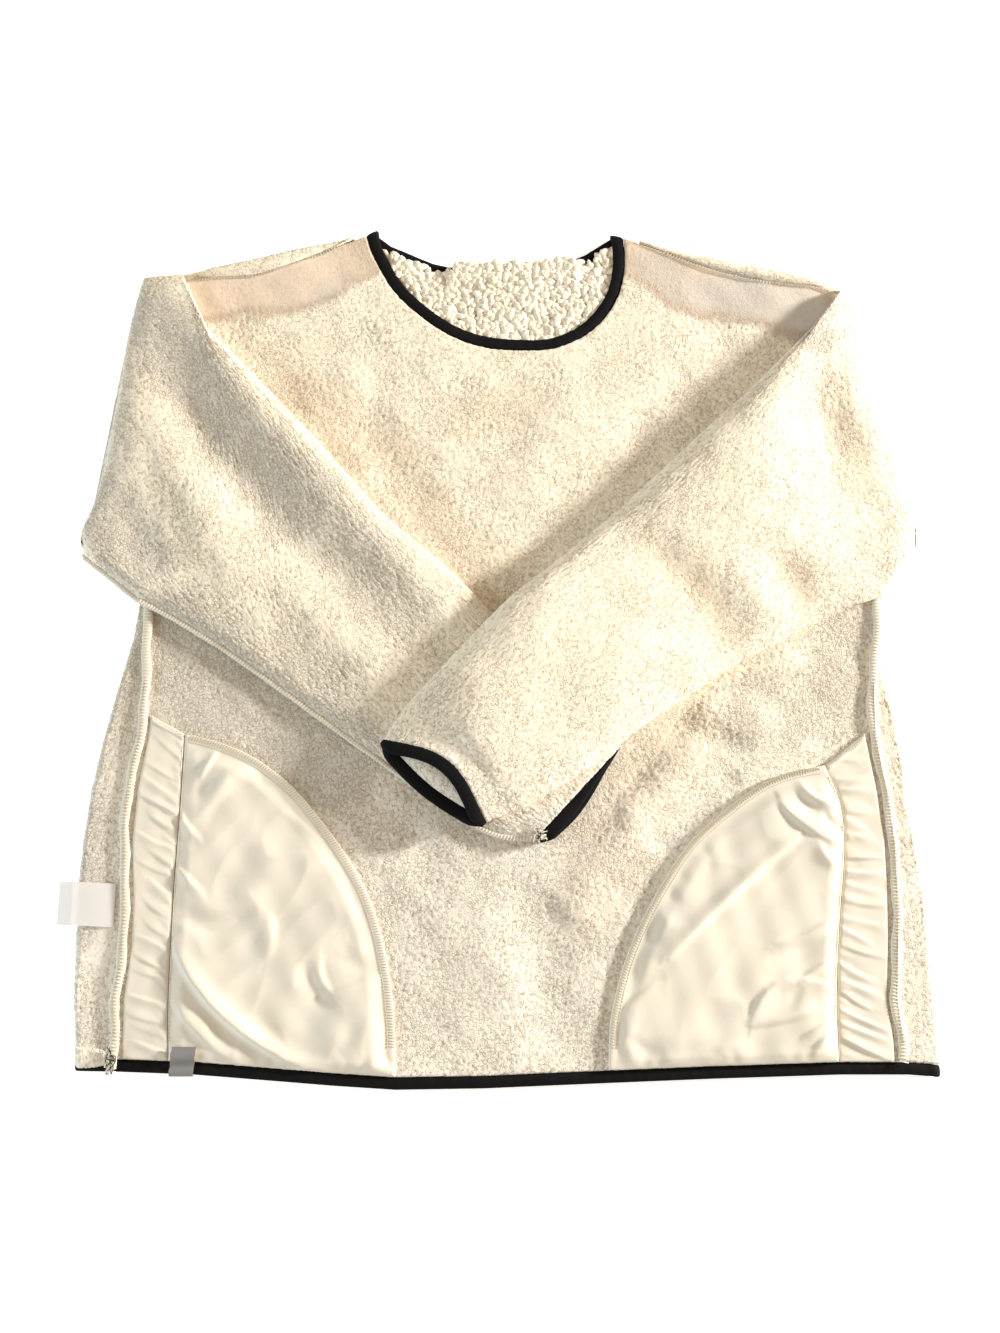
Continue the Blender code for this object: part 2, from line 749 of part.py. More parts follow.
def front_panel():
    """The front, between the side seams and the shoulder seams, with the raised edges of its side seams."""
    left_in = (left_side - left_of(left_side) * GAP)
    right_in = (right_side + left_of(right_side) * GAP)
    left_in[0] = (left_in[0][0], float(hem_y(left_in[0][0])) + GAP)
    right_in[0] = (right_in[0][0], float(hem_y(right_in[0][0])) + GAP)
    hem = hem_between(left_in[0][0], right_in[0][0]) + np.array((0, GAP))
    left_up = (left_shoulder - left_of(left_shoulder) * GAP)
    right_up = (right_shoulder + left_of(right_shoulder) * GAP)
    right_up[0] = share(RIGHT_ARMHOLE, 0, SEAM_AT_SHOULDER + 0.01)
    left_up[0] = share(LEFT_ARMHOLE, 0, SEAM_AT_SHOULDER + 0.01)
    right_in[-1] = share(RIGHT_ARMHOLE, 6, SEAM_AT_UNDERARM - 0.02)
    left_in[-1] = share(LEFT_ARMHOLE, 6, SEAM_AT_UNDERARM - 0.02)
    edge = [tuple(p) for p in hem[:-1]]
    top = [FRONT_TOP] * len(edge)
    for x, y in right_in:
        edge.append((x, y))
        top.append(FRONT_TOP + (RIDGE_TOP - FRONT_TOP) * ridge(y))
    edge += [tuple(p) for p in RIGHT_ARMHOLE[6:0:-1]]
    edge += [tuple(p) for p in right_up[:-1]]
    edge += [tuple(p) for p in neck_edge(1)[::-1]]
    edge += [tuple(p) for p in left_up[::-1][1:]]
    edge += [tuple(p) for p in LEFT_ARMHOLE[1:7]]
    top += [FRONT_TOP] * (len(edge) - len(top))
    for x, y in left_in[:0:-1]:
        edge.append((x, y))
        top.append(FRONT_TOP + (RIDGE_TOP - FRONT_TOP) * ridge(y))
    rails = []
    for seam, side in ((left_in, -1), (right_in, 1)):
        away = left_of(seam) * side
        for at, crest in ((RIDGE_CREST_AT, True), (RIDGE_FOOT_AT, False)):
            line = []
            for x, y in (seam + away * at)[1:-2]:
                high = (RIDGE_CREST - FRONT_TOP) * ridge(y) if crest else 0
                line.append((x, y, FRONT_TOP + high))
            rails.append((None, line, None))
    outline = np.array(edge)
    spots = hexes(outline, 25, 9)
    inner = [(x, y, z) for (x, y), z in zip(spots, front_height(spots[:, 0], spots[:, 1]))]
    return panel(edge, SEAM_ROLL * np.ones(len(edge)), top, FRONT_LOW, rails, inner)


# Sleeves

def section_ring(path, radius, high, low):
    """A flattened ring over a path in plan: tops, a rounded end, bottoms, a rounded end, 24 points in all."""
    steps = np.linalg.norm(np.diff(path, axis=0), axis=1)
    along = np.concatenate([[0], np.cumsum(steps)])
    length = along[-1]
    row = along.copy()
    row[0], row[-1] = radius, length - radius
    slope = radius * (1 - np.sin(np.radians(45)))

    def place(at):
        return np.array([np.interp(at, along, path[:, axis]) for axis in (0, 1)])

    tops = [place(at) for at in row]
    high_row = [high(x, y, at / length) for (x, y), at in zip(tops, row)]
    low_row = [low(x, y, at / length) for (x, y), at in zip(tops, row)]
    ring = [(x, y, z) for (x, y), z in zip(tops, high_row)]
    ends = []
    for end, inset in ((length, length - slope), (0.0, slope)):
        pick = -1 if end else 0
        middle = (high_row[pick] + low_row[pick]) / 2
        half = (high_row[pick] - low_row[pick]) / 2
        lean = half * np.cos(np.radians(45))
        ends.append([(inset, middle + lean), (end, middle), (inset, middle - lean)])
    ring += [(*place(at), z) for at, z in ends[0]]
    ring += [(x, y, z) for (x, y), z in zip(tops[::-1], low_row[::-1])]
    ring += [(*place(at), z) for at, z in ends[1][::-1]]
    return np.array(ring)


def sleeve_rungs(table, armhole, fold):
    """Paths across the sleeve, from its outer fold to the cuff, and the air inside each."""
    fold, armhole = plan(fold), plan(armhole)
    outward_step = armhole - fold
    rungs = [fold + outward_step * part for part in (0.0, 0.05, 0.18, 0.55)]
    away = -outward_step / np.linalg.norm(outward_step, axis=1)[:, None]
    normal = left_of(armhole)
    sign = np.sign((normal * away).sum(axis=1).mean())
    rungs += [armhole + normal * sign * 1.2, armhole + normal * sign * 0.4]
    rows = smooth(table, RUNG_PITCH)
    first = resample([armhole[0], armhole[-1]], 9)
    bow = armhole - first
    for index, row in enumerate(rows):
        fade = 1 - ease((index + 1) / len(rows) / BOW_FADES)
        rungs.append(resample([row[:2], row[2:4]], 9) + bow * fade)
    air = [0, 0, 0, 0, 1.0, 1.0] + [row[4] for row in rows]
    return rungs, air


def crown(s):
    """Rise of the air inside a sleeve across its width."""
    return np.sin(np.pi * np.clip(s, 0, 1)) ** 0.7


def left_outline():
    """The left sleeve in plan."""
    upper = [LEFT_ARMHOLE[0]] + [row[:2] for row in LEFT_SLEEVE]
    lower = [row[2:4] for row in LEFT_SLEEVE[::-1]]
    cuff = [np.array(p) + np.array(LEFT_CUFF_AXIS) * (CUFF_BIND_WIDE + LEFT_CUFF_LIPS[1]) for p in (upper[-1], lower[0])]
    outline = upper + cuff + lower + [LEFT_ARMHOLE[-1]] + list(LEFT_SLEEVE_FOLD[::-1])
    return np.array([tuple(p) for p in outline], float)[::-1]


LEFT_PLAN = left_outline()


def left_low(x, y):
    return LYING


def left_high(x, y):
    return LYING + 2 * SLEEVE_WALL + SLEEVE_SLACK + creased(x, y, LEFT_SLEEVE_CREASES)


def right_low(x, y):
    """What the right sleeve lies on: the front, and the left sleeve where they cross."""
    away = float(to_outline(x, y, LEFT_PLAN)[0])
    return LYING + (RIGHT_OVER_LEFT - LYING) * float(ease((62 - away) / 42))


def right_high(x, y):
    away = float(to_outline(x, y, LEFT_PLAN)[0])
    base = LYING + (RIGHT_OVER_LEFT - LYING) * float(ease((150 - away) / 150))
    return base + 2 * SLEEVE_WALL + SLEEVE_SLACK + creased(x, y, RIGHT_SLEEVE_CREASES)


def sleeve(table, armhole, fold, lying, upper, lips, axis):
    """A flattened tube, folded at its outer end and open at the cuff, and the ring that its binding continues."""
    rungs, air = sleeve_rungs(table, armhole, fold)
    draw = np.sin(np.pi * np.linspace(0, 1, 9)) ** 2
    axis = np.array(axis)
    rings, hollow = [], []
    shares = (0.30, 0.78, 1.0, 1.0, 1.0, 1.0)
    for index, (path, room) in enumerate(zip(rungs, air)):
        outer_part = index < 5
        share_here = shares[index] if index < len(shares) else 1.0

        def high(x, y, s, room=room, part=share_here):
            top = upper(x, y) + room * crown(s)
            return top / 2 + top / 2 * part if part < 1 else top

        def low(x, y, s, flat=outer_part, part=share_here, room=room):
            if part < 1:
                top = upper(x, y)
                return top / 2 - top / 2 * part
            return 0.0 if flat else lying(x, y)

        radius = RIM_RADIUS if index < 4 else 5.0
        ring = section_ring(path, radius, high, low)
        if index >= len(rungs) - 3:
            pull = LIP_PULL[index - len(rungs)]
            ring[:9, :2] -= axis * (draw * lips[0] * pull)[:, None]
            ring[12:21, :2] += axis * (draw[::-1] * lips[1] * pull)[:, None]
        rings.append(ring)
        if index >= 7:
            hollow.append(inner_ring(ring))
    body = tube(rings + hollow[::-1], "across")
    return body, rings[-1], hollow[-1]


def inner_ring(ring):
    """The inside of a sleeve's ring, one wall in."""
    inner = ring.copy()
    row = 9
    tops, lows = ring[:row], ring[12:21][::-1]
    high = tops[:, 2] - SLEEVE_WALL
    low = lows[:, 2] + SLEEVE_WALL
    tight = high - low < 0.5
    middle = (tops[:, 2] + lows[:, 2]) / 2
    high = np.where(tight, middle + 0.25, high)
    low = np.where(tight, middle - 0.25, low)
    inner[:row, 2] = high
    inner[12:21, 2] = low[::-1]
    chord = ring[10, :2] - ring[22, :2]
    chord = chord / np.linalg.norm(chord)
    for pick, toward, rim in ((row - 1, -chord, (9, 10, 11)), (0, chord, (23, 22, 21))):
        inner[pick, :2] += toward * 3.0
        other = 12 if pick else 20
        inner[other, :2] += toward * 3.0
        up, down = inner[pick, 2], inner[other, 2]
        mid_place = (inner[pick, :2] + inner[other, :2]) / 2
        for index, (back, z) in zip(rim, ((0.7, up * 0.8 + down * 0.2), (1.0, (up + down) / 2), (0.7, up * 0.2 + down * 0.8))):
            inner[index, :2] = mid_place - toward * back
            inner[index, 2] = z
    return inner


def cuff_binding(outer, inner, axis):
    """The folded binding that carries a cuff's wall on past the fleece."""
    axis = np.array((axis[0], axis[1], 0.0))
    middle = (outer + inner) / 2

    def shifted(ring, at, draw):
        return ring + axis * at + (middle - ring) * draw

    rings = [
        shifted(outer, 2 * GAP, 0.0),
        shifted(outer, GAP + CUFF_BIND_WIDE - 1.6, 0.0),
        shifted(outer, GAP + CUFF_BIND_WIDE, 0.4),
        shifted(inner, GAP + CUFF_BIND_WIDE, 0.4),
        shifted(inner, GAP + CUFF_BIND_WIDE - 1.6, 0.0),
        shifted(inner, 2 * GAP, 0.0),
    ]
    return tube(rings)


# Pockets

def bag(curve, seam, creases, sign):
    """A jersey pocket bag lying on the front: the seam side, the curve and the hem close its outline."""
    curved = resample(smooth(curve, 10), 24)
    down = smooth(seam, 22)
    seam_in = down + np.array((sign * GAP, 0.0))
    if sign > 0:
        hem = hem_between(seam_in[-1][0], curved[-1][0])
    else:
        hem = hem_between(curved[-1][0], seam_in[-1][0])
    hem = hem + np.array((0, 2 * GAP))
    if sign > 0:
        edge = np.vstack([seam_in[1:-1], hem, curved[-2::-1]])
    else:
        edge = np.vstack([hem, seam_in[1:-1][::-1], curved[:-1]])
    spots = hexes(edge, 13, 6)
    base = LYING + JERSEY
    z = base + 0.4 + np.maximum(creased(spots[:, 0], spots[:, 1], creases), -0.9)
    inner = [(x, y, h) for (x, y), h in zip(spots, z)]
    return panel(edge, 0.7 * np.ones(len(edge)), base * np.ones(len(edge)), LYING, (), inner, (90,))


def facing(seam, side, top_y, sign):
    """The puckered strip between the side seam's ridge and the bag."""
    low_side = side[0][1] + GAP
    rows = PUCKERS * 4 + 1
    foot = RIDGE_FOOT_AT + 1.5
    top_side = top_y
    bag_down = smooth(seam, 6)

    def x_outer(y):
        order = np.argsort(side[:, 1])
        return np.interp(y, side[order, 1], side[order, 0]) + sign * foot

    def x_inner(y):
        order = np.argsort(bag_down[:, 1])
        return np.interp(y, bag_down[order, 1], bag_down[order, 0]) - sign * GAP

    def spot(u, v):
        """u from the side seam to the bag, v from the hem to the top."""
        top_here = top_side + (seam[0][1] - top_side) * u
        low_here = low_side + GAP
        y = low_here + (top_here - low_here) * v
        outer, inner = x_outer(y), x_inner(y)
        return outer + (inner - outer) * u, y

    across = (0.0, 0.2, 0.4, 0.6, 0.8, 1.0)
    edge_v = np.linspace(0, 1, 21)
    low = [spot(u, 0.0) for u in across]
    high = [spot(u, 1.0) for u in across]
    outer = [spot(0.0, v) for v in edge_v[1:-1]]
    inner_side = [spot(1.0, v) for v in edge_v[1:-1]]
    low = [(x, float(hem_y(x)) + 2 * GAP) for x, _ in low]
    if sign > 0:
        edge = low + inner_side + high[::-1] + outer[::-1]
    else:
        edge = low[::-1] + outer + high + inner_side[::-1]
    inner = []
    for row in range(1, rows - 1):
        for step, u in enumerate(across[1:-1]):
            v = row / (rows - 1)
            uneven = 0.35 * np.sin(2.1 * v * PUCKERS / 3 + sign) + 0.5 * np.sin(9.0 * v + 1.3 * sign)
            phase = 2 * np.pi * (PUCKERS * v + uneven) + (0.9 * u + 0.5 * step % 2) * sign
            wave = 0.5 + 0.5 * np.cos(phase)
            size = 0.75 + 0.25 * np.sin(17 * v + 3 * u)
            x, y = spot(u, v)
            inner.append((x, y, LYING + JERSEY + PUCKER_HIGH * size * wave * (1 - 0.35 * abs(2 * u - 1))))
    edge = np.array(edge, float)
    return panel(edge, 0.6 * np.ones(len(edge)), (LYING + JERSEY) * np.ones(len(edge)), LYING, (), inner, (90,))


def hem_tab():
    """A short strip that lies on the bag, comes down over the binding and turns round the hem."""
    y = float(hem_y(TAB_X))
    flat, low = LYING + JERSEY + 1.2, FRONT_TOP + 0.2 + TAB_THICK / 2
    path = (
        (y + 11, flat, 0, 1),
        (y + 2.5, flat, 0.25, 0.97),
        (y - 1.0, low + 1.0, 0.3, 0.95),
        (y - 3.0, low, -0.1, 1),
        (y - HEM_BIND_WIDE + 0.5, low, -0.38, 0.92),
        (y - HEM_BIND_WIDE - 1.0, low - 1.6, -0.95, 0.3),
        (y - HEM_BIND_WIDE - 1.0, FRONT_LOW + 1.0, -1, 0),
    )
    rings = []
    for py, pz, ny, nz in path:
        rings.append([
            (TAB_X + side * TAB_WIDE / 2, py + ny * lift * TAB_THICK / 2, pz + nz * lift * TAB_THICK / 2)
            for side, lift in ((-1, 1), (1, 1), (1, -1), (-1, -1))
        ])
    return tube(rings, "flat")


def care_label():
    """A doubled label: it lies on the folded side of the back and bends down past its edge."""
    rings = []
    for part in np.linspace(0, 1, 9):
        x = LABEL_FROM + (LABEL_TO - LABEL_FROM) * part
        y = LABEL_Y + 2.0 * part
        z = LYING + LABEL_THICK / 2 + 0.9 * np.sin(np.pi * part) - 3.2 * max(0.0, part - 0.75) / 0.25
        half = LABEL_WIDE / 2
        tilt = 0.5 * np.sin(2.2 * np.pi * part)
        rings.append([
            (x, y - half, z + tilt + LABEL_THICK / 2 + 0.4),
            (x, y + half, z - tilt + LABEL_THICK / 2 + 0.4),
            (x, y + half, z - tilt - LABEL_THICK / 2 + 0.4),
            (x, y - half, z + tilt - LABEL_THICK / 2 + 0.4),
        ])
    return tube(rings, "flat")


# Into Blender

def material(name, colour, roughness, sheen=0.0):
    made = bpy.data.materials.new(name)
    made.use_nodes = True
    shader = made.node_tree.nodes["Principled BSDF"]
    shader.inputs["Base Color"].default_value = (*colour, 1)
    shader.inputs["Roughness"].default_value = roughness
    shader.inputs["Sheen Weight"].default_value = sheen
    made.diffuse_color = (*colour, 1)
    return made


def place(name, shape, colour, roughness, sheen, collection):
    verts, faces = shape
    mesh = bpy.data.meshes.new(name)
    moved = (np.array(verts) - (MIDDLE_X, MIDDLE_Y, 0)) * MM
    mesh.from_pydata([tuple(p) for p in moved], [], [list(f) for f in faces])
    mesh.validate()
    made = bpy.data.objects.new(name, mesh)
    mesh.materials.append(material(name + "_cloth", colour, roughness, sheen))
    collection.objects.link(made)
    mesh.shade_smooth()
    mesh.set_sharp_from_angle(angle=0.9)
    return made


for found in list(bpy.data.objects):
    bpy.data.objects.remove(found, do_unlink=True)
pullover = bpy.data.collections.new("sherpa_pullover")
bpy.context.scene.collection.children.link(pullover)

left_body, left_outer, left_inner = sleeve(
    LEFT_SLEEVE, LEFT_ARMHOLE, LEFT_SLEEVE_FOLD, left_low, left_high, LEFT_CUFF_LIPS, LEFT_CUFF_AXIS
)
right_body, right_outer, right_inner = sleeve(
    RIGHT_SLEEVE, RIGHT_ARMHOLE, RIGHT_SLEEVE_FOLD, right_low, right_high, RIGHT_CUFF_LIPS, RIGHT_CUFF_AXIS
)
PIECES = (
    ("back_panel", back_panel(), CURLS, 0.95, 0.4),
    ("front_panel", front_panel(), FLEECE, 0.95, 0.4),
    ("sleeve_left", left_body, FLEECE, 0.95, 0.4),
    ("sleeve_right", right_body, FLEECE, 0.95, 0.4),
    ("neck_binding", neck_binding(), BLACK, 0.7, 0.0),
    ("hem_binding", hem_binding(), BLACK, 0.7, 0.0),
    ("cuff_binding_left", cuff_binding(left_outer, left_inner, LEFT_CUFF_AXIS), BLACK, 0.7, 0.0),
    ("cuff_binding_right", cuff_binding(right_outer, right_inner, RIGHT_CUFF_AXIS), BLACK, 0.7, 0.0),
    ("pocket_bag_left", bag(LEFT_BAG_CURVE, LEFT_BAG_SEAM, LEFT_BAG_CREASES, 1), JERSEY_COLOUR, 0.8, 0.1),
    ("pocket_bag_right", bag(RIGHT_BAG_CURVE, RIGHT_BAG_SEAM, RIGHT_BAG_CREASES, -1), JERSEY_COLOUR, 0.8, 0.1),
    ("pocket_facing_left", facing(LEFT_BAG_SEAM, left_side, LEFT_FACING_TOP, 1), JERSEY_COLOUR, 0.8, 0.1),
    ("pocket_facing_right", facing(RIGHT_BAG_SEAM, right_side, RIGHT_FACING_TOP, -1), JERSEY_COLOUR, 0.8, 0.1),
    ("hem_tab", hem_tab(), GREY, 0.55, 0.0),
    ("care_label", care_label(), SATIN, 0.5, 0.0),
)
for name, shape, colour, roughness, sheen in PIECES:
    place(name, shape, colour, roughness, sheen, pullover)
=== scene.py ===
# %% [markdown]
# # A sherpa fleece pullover, laid flat
#
# The garment is turned inside out and lies on its back, with both sleeves folded over its front.
# The solids of the frame hold its true sizes. Here each cut piece gets its own cloth shell, in the same
# place, fine enough for tufts, creases and puckers, and then its sewing.

# %% Load the frame
import math

import bpy
import numpy as np
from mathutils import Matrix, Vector
from mathutils.geometry import delaunay_2d_cdt


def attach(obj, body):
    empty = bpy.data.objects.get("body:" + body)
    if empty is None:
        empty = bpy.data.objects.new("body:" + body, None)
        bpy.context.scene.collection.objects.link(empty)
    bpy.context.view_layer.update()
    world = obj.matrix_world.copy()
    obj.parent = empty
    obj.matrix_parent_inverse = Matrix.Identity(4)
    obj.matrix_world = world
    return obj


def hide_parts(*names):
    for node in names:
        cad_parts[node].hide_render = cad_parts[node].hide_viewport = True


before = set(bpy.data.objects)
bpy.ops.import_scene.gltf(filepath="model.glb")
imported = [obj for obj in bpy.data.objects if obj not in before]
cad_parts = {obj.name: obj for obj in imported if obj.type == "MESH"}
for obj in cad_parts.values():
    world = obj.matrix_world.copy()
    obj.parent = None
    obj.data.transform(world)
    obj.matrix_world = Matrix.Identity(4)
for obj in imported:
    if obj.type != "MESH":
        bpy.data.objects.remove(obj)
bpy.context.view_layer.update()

MM = 0.001
print("nodes", len(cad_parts))

# %% [markdown]
# ## Camera, light and floor
#
# The camera looks down from over the hem, 13 degrees off the vertical, so that the upper part is a little
# smaller. One warm, fairly low lamp on the right draws the tufts and throws the sleeves' shadows to the
# left, and a wide cool lamp on the left fills them.

# %% Camera
# Middle of the laid garment in the frame of the tables below
MIDDLE_X = -1.2
MIDDLE_Y = 27.0
TILT = math.radians(13.0)
DISTANCE = 1.20
FOCAL_SHARE = 1500.0 / 1333.0
SENSOR = 36.0


def to_row(x, y, z):
    """A point of the garment's tables, in millimetres, as metres in the frame."""
    return Vector(((x - MIDDLE_X) * MM, (y - MIDDLE_Y) * MM, z * MM))


camera = bpy.data.objects.new("camera", bpy.data.cameras.new("camera"))
camera.data.sensor_width = SENSOR
camera.data.lens = FOCAL_SHARE * SENSOR
camera.location = to_row(0, 0, 0) + Vector((0, -math.sin(TILT), math.cos(TILT))) * DISTANCE
camera.rotation_euler = (TILT, 0, 0)
bpy.context.scene.collection.objects.link(camera)
bpy.context.scene.camera = camera
print("lens", round(camera.data.lens, 1), "mm")

# %% Lamps, room light and floor
def lamp(name, place, width, watts, colour):
    """A round lamp aimed at the middle of the garment. Its place and width are in metres."""
    data = bpy.data.lights.new(name, "AREA")
    data.shape = "DISK"
    data.size = width
    data.energy = watts
    data.color = colour
    made = bpy.data.objects.new(name, data)
    made.location = place
    made.rotation_euler = (-Vector(place)).to_track_quat("-Z", "Y").to_euler()
    bpy.context.scene.collection.objects.link(made)


lamp("key", (3.3, 0.76, 0.92), 0.42, 272.0, (1.0, 0.965, 0.895))
lamp("fill", (-2.6, -0.7, 0.8), 1.2, 46.0, (0.66, 0.87, 1.0))
world = bpy.data.worlds.new("soft_room")
world.use_nodes = True
world.node_tree.nodes["Background"].inputs["Color"].default_value = (1.0, 0.845, 0.645, 1)
world.node_tree.nodes["Background"].inputs["Strength"].default_value = 0.55
bpy.context.scene.world = world
bpy.context.scene.view_settings.view_transform = "Standard"

# Metres
FLOOR_REACH = 6.0
FLOOR_Z = -0.0006
floor_mesh = bpy.data.meshes.new("floor")
corners = [(x * FLOOR_REACH, y * FLOOR_REACH, FLOOR_Z) for x, y in ((-1, -1), (1, -1), (1, 1), (-1, 1))]
floor_mesh.from_pydata(corners, [], [(0, 1, 2, 3)])
floor = bpy.data.objects.new("floor", floor_mesh)
bpy.context.scene.collection.objects.link(floor)
print("lamps", len(bpy.data.lights))

# %% [markdown]
# ## Sizes
#
# The tables hold what the solids were made from, in millimetres: the body, the hem, the shoulders, the
# armholes, the sleeves and the pockets. A point's columns are x and y where none are named.

# %% Cloth, seams and bindings
# Cloth
WALL = 5.0
GAP = 0.3
BACK_TOP = WALL
FRONT_LOW = BACK_TOP + GAP
FRONT_TOP = FRONT_LOW + WALL
LYING = FRONT_TOP + GAP
JERSEY = 1.6
FOLD_ROLL = 4.5
SEAM_ROLL = 0.5

# Seam ridges: the two raw edges stand up beside each other
RIDGE_TOP = 14.2
RIDGE_FOOT_AT = 5.0
SHOULDER_RIDGE = 11.4

# Folded bindings
NECK_BIND_WIDE = 10.0
HEM_BIND_WIDE = 9.0
CUFF_BIND_WIDE = 9.0
BIND_THICK = 4.8
BIND_BACK_Z = 2.4
BIND_FRONT_Z = 7.7

# Sleeves
SLEEVE_WALL = 4.2
SLEEVE_SLACK = 0.7
RIGHT_OVER_LEFT = 22.8
print("cloth", WALL, "mm, jersey", JERSEY, "mm")

# %% Body and hem
# Body sections, up from the hem: y, left fold, left side seam, right side seam, right fold
BODY = (
    (-300, -319, -289, 301, 330),
    (-260, -323, -290, 298, 330),
    (-220, -324, -286, 301, 329),
    (-180, -325, -287, 303, 327),
    (-140, -323, -290, 303, 323),
    (-100, -319, -288, 299, 319),
    (-60, -312, -282, 293, 315),
    (-20, -303, -280, 294, 308),
    (20, -293, -280, 299, 306),
)

# Top edge of the hem binding: x, y
HEM = (
    (-340, -303),
    (-284, -304),
    (-229, -306),
    (-164, -311),
    (-126, -314),
    (-78, -317),
    (-12, -316),
    (84, -312),
    (160, -309),
    (255, -306),
    (305, -306),
    (345, -309),
)
print("body sections", len(BODY))

# %% Shoulders and armholes
# Shoulders, from the armhole to the neck: x, y of the fold, y of the seam
LEFT_SHOULDER = (
    (-240, 346, 335),
    (-205, 354, 337),
    (-175, 362, 347),
    (-150, 367, 357.5),
)
RIGHT_SHOULDER = (
    (264, 335, 327),
    (235, 343, 329.5),
    (208, 348.5, 334),
    (180, 354.5, 341.5),
    (155, 359.5, 351),
)
LEFT_SHOULDER_END = (-124, 372.1)
RIGHT_SHOULDER_END = (118, 368.6)

# Armhole, then the edge that the sleeve still covers, down from the shoulder: x, y
LEFT_ARMHOLE = (
    (-268, 336.5),
    (-256, 300),
    (-248, 262),
    (-245, 222),
    (-247, 182),
    (-254, 145),
    (-266, 115),
    (-285, 95),
    (-289, 52),
)
RIGHT_ARMHOLE = (
    (288, 323),
    (273, 296),
    (265, 260),
    (262, 222),
    (264, 182),
    (272, 146),
    (285, 116),
    (304, 95),
    (307, 54),
)
# Where the shoulder seam and the side seam meet the armhole, as a share of its first and seventh spans
SEAM_AT_SHOULDER = 0.14
SEAM_AT_UNDERARM = 0.82
print("armhole points", len(LEFT_ARMHOLE), len(RIGHT_ARMHOLE))

# %% Sleeves
# Fold of each sleeve, down from the shoulder: x, y, one row for each armhole row
LEFT_SLEEVE_FOLD = (
    (-300, 334),
    (-306, 304),
    (-311, 272),
    (-314, 236),
    (-318, 200),
    (-322, 165),
    (-329, 135),
    (-338, 107),
    (-336, 90),
)
RIGHT_SLEEVE_FOLD = (
    (296, 320),
    (300, 296),
    (303, 268),
    (308, 240),
    (316, 212),
    (323, 182),
    (329, 154),
    (336, 118),
    (334, 84),
)
# Sleeve sections from the body to the cuff: upper edge x, y, lower edge x, y, air inside at the middle
LEFT_SLEEVE = (
    (-244, 286, -262, 38, 2.5),
    (-194, 234, -221, 13, 3.0),
    (-144, 180, -178, -17, 3.5),
    (-95, 124, -135, -48, 2.5),
    (-47, 82, -90, -80, 2.0),
    (0, 34, -45, -111, 2.0),
    (50, -20, -5, -135, 2.0),
    (93, -69, 28, -139, 2.0),
)
RIGHT_SLEEVE = (
    (261, 287, 276, 44, 5.0),
    (208, 233, 232, 22, 7.0),
    (157, 185, 188, -1, 7.0),
    (107, 137, 146, -29, 6.0),
    (57, 92, 106, -57, 5.0),
    (8, 50, 66, -88, 5.0),
    (-40, -1, 26, -113, 6.0),
    (-73, -38, 5, -122, 7.0),
    (-90, -64, -10, -128, 9.0),
)
LEFT_CUFF_AXIS = (0.733, -0.680)
RIGHT_CUFF_AXIS = (-0.636, -0.771)
# How far the middle of a cuff's upper lip draws back, and its lower lip reaches out
LEFT_CUFF_LIPS = (0.0, 2.5)
RIGHT_CUFF_LIPS = (17.0, 5.0)
print("sleeve sections", len(LEFT_SLEEVE), len(RIGHT_SLEEVE))

# %% Pocket outlines
# Pocket bags: the curved edge, from the top of the opening seam to the hem: x, y
LEFT_BAG_CURVE = (
    (-247, -57),
    (-225, -62),
    (-195, -74),
    (-163, -97),
    (-135, -129),
    (-111, -163),
    (-95, -197),
    (-85, -235),
    (-80, -268),
    (-78, -300),
)
RIGHT_BAG_CURVE = (
    (253, -82),
    (226, -87),
    (202, -97),
    (174, -117),
    (146, -142),
    (123, -175),
    (104, -209),
    (91, -242),
    (83, -275),
    (81, -300),
)
# Seam between bag and facing, down from the top: x, y
LEFT_BAG_SEAM = ((-247, -57), (-248, -110), (-250, -186), (-250, -260), (-248, -300))
RIGHT_BAG_SEAM = ((253, -82), (264, -112), (265, -150), (259, -200), (254, -255), (253, -298))
print("pocket curve points", len(LEFT_BAG_CURVE), len(RIGHT_BAG_CURVE))

# %% [markdown]
# ## Curves and distances
#
# A garment is mostly outlines. These helpers round a table into a curve, offset it, and measure how far a
# point lies from it. They work on whole arrays, because a fleece panel has tens of thousands of points.

# %% Curves and distances
def column(table, index):
    return np.array([row[index] for row in table], float)


def plan(rows):
    return np.array(rows, float)[:, :2]


def hem_y(x):
    return np.interp(x, column(HEM, 0), column(HEM, 1))


def hem_between(start, end):
    """Hem points from start to end, with a corner at each row of the table."""
    inside = [x for x in column(HEM, 0) if start + 2 < x < end - 2]
    return np.array([(x, float(hem_y(x))) for x in [start, *inside, end]])


def through(points, steps_in):
    """A rounded curve through the points. steps_in gives a span's number of steps from its length."""
    points = np.array(points, float)
    ends = np.vstack([2 * points[0] - points[1], points, 2 * points[-1] - points[-2]])
    out = [points[0]]
    for before, here, there, after in zip(ends, ends[1:], ends[2:], ends[3:]):
        steps = steps_in(float(np.linalg.norm(there - here)))
        for step in range(1, steps + 1):
            t = step / steps
            line = here * 2 + (there - before) * t
            bend = (2 * before - 5 * here + 4 * there - after) * t**2
            turn = (3 * here - before - 3 * there + after) * t**3
            out.append((line + bend + turn) / 2)
    return np.array(out)


def smooth(points, pitch):
    """Points about one pitch apart on a rounded curve through the given points."""
    return through(points, lambda span: max(1, round(span / pitch)))


def spline(points, steps):
    """The same curve with the same number of steps in each span."""
    return through(points, lambda span: steps)


def lengths(points):
    """How far along a polyline each of its points lies."""
    steps = np.linalg.norm(np.diff(points, axis=0), axis=1)
    return np.concatenate([[0], np.cumsum(steps)])


def resample(points, count):
    """The polyline cut into evenly spaced points."""
    points = np.array(points, float)
    along = lengths(points)
    at = np.linspace(0, along[-1], count)
    return np.column_stack([np.interp(at, along, points[:, axis]) for axis in range(points.shape[1])])


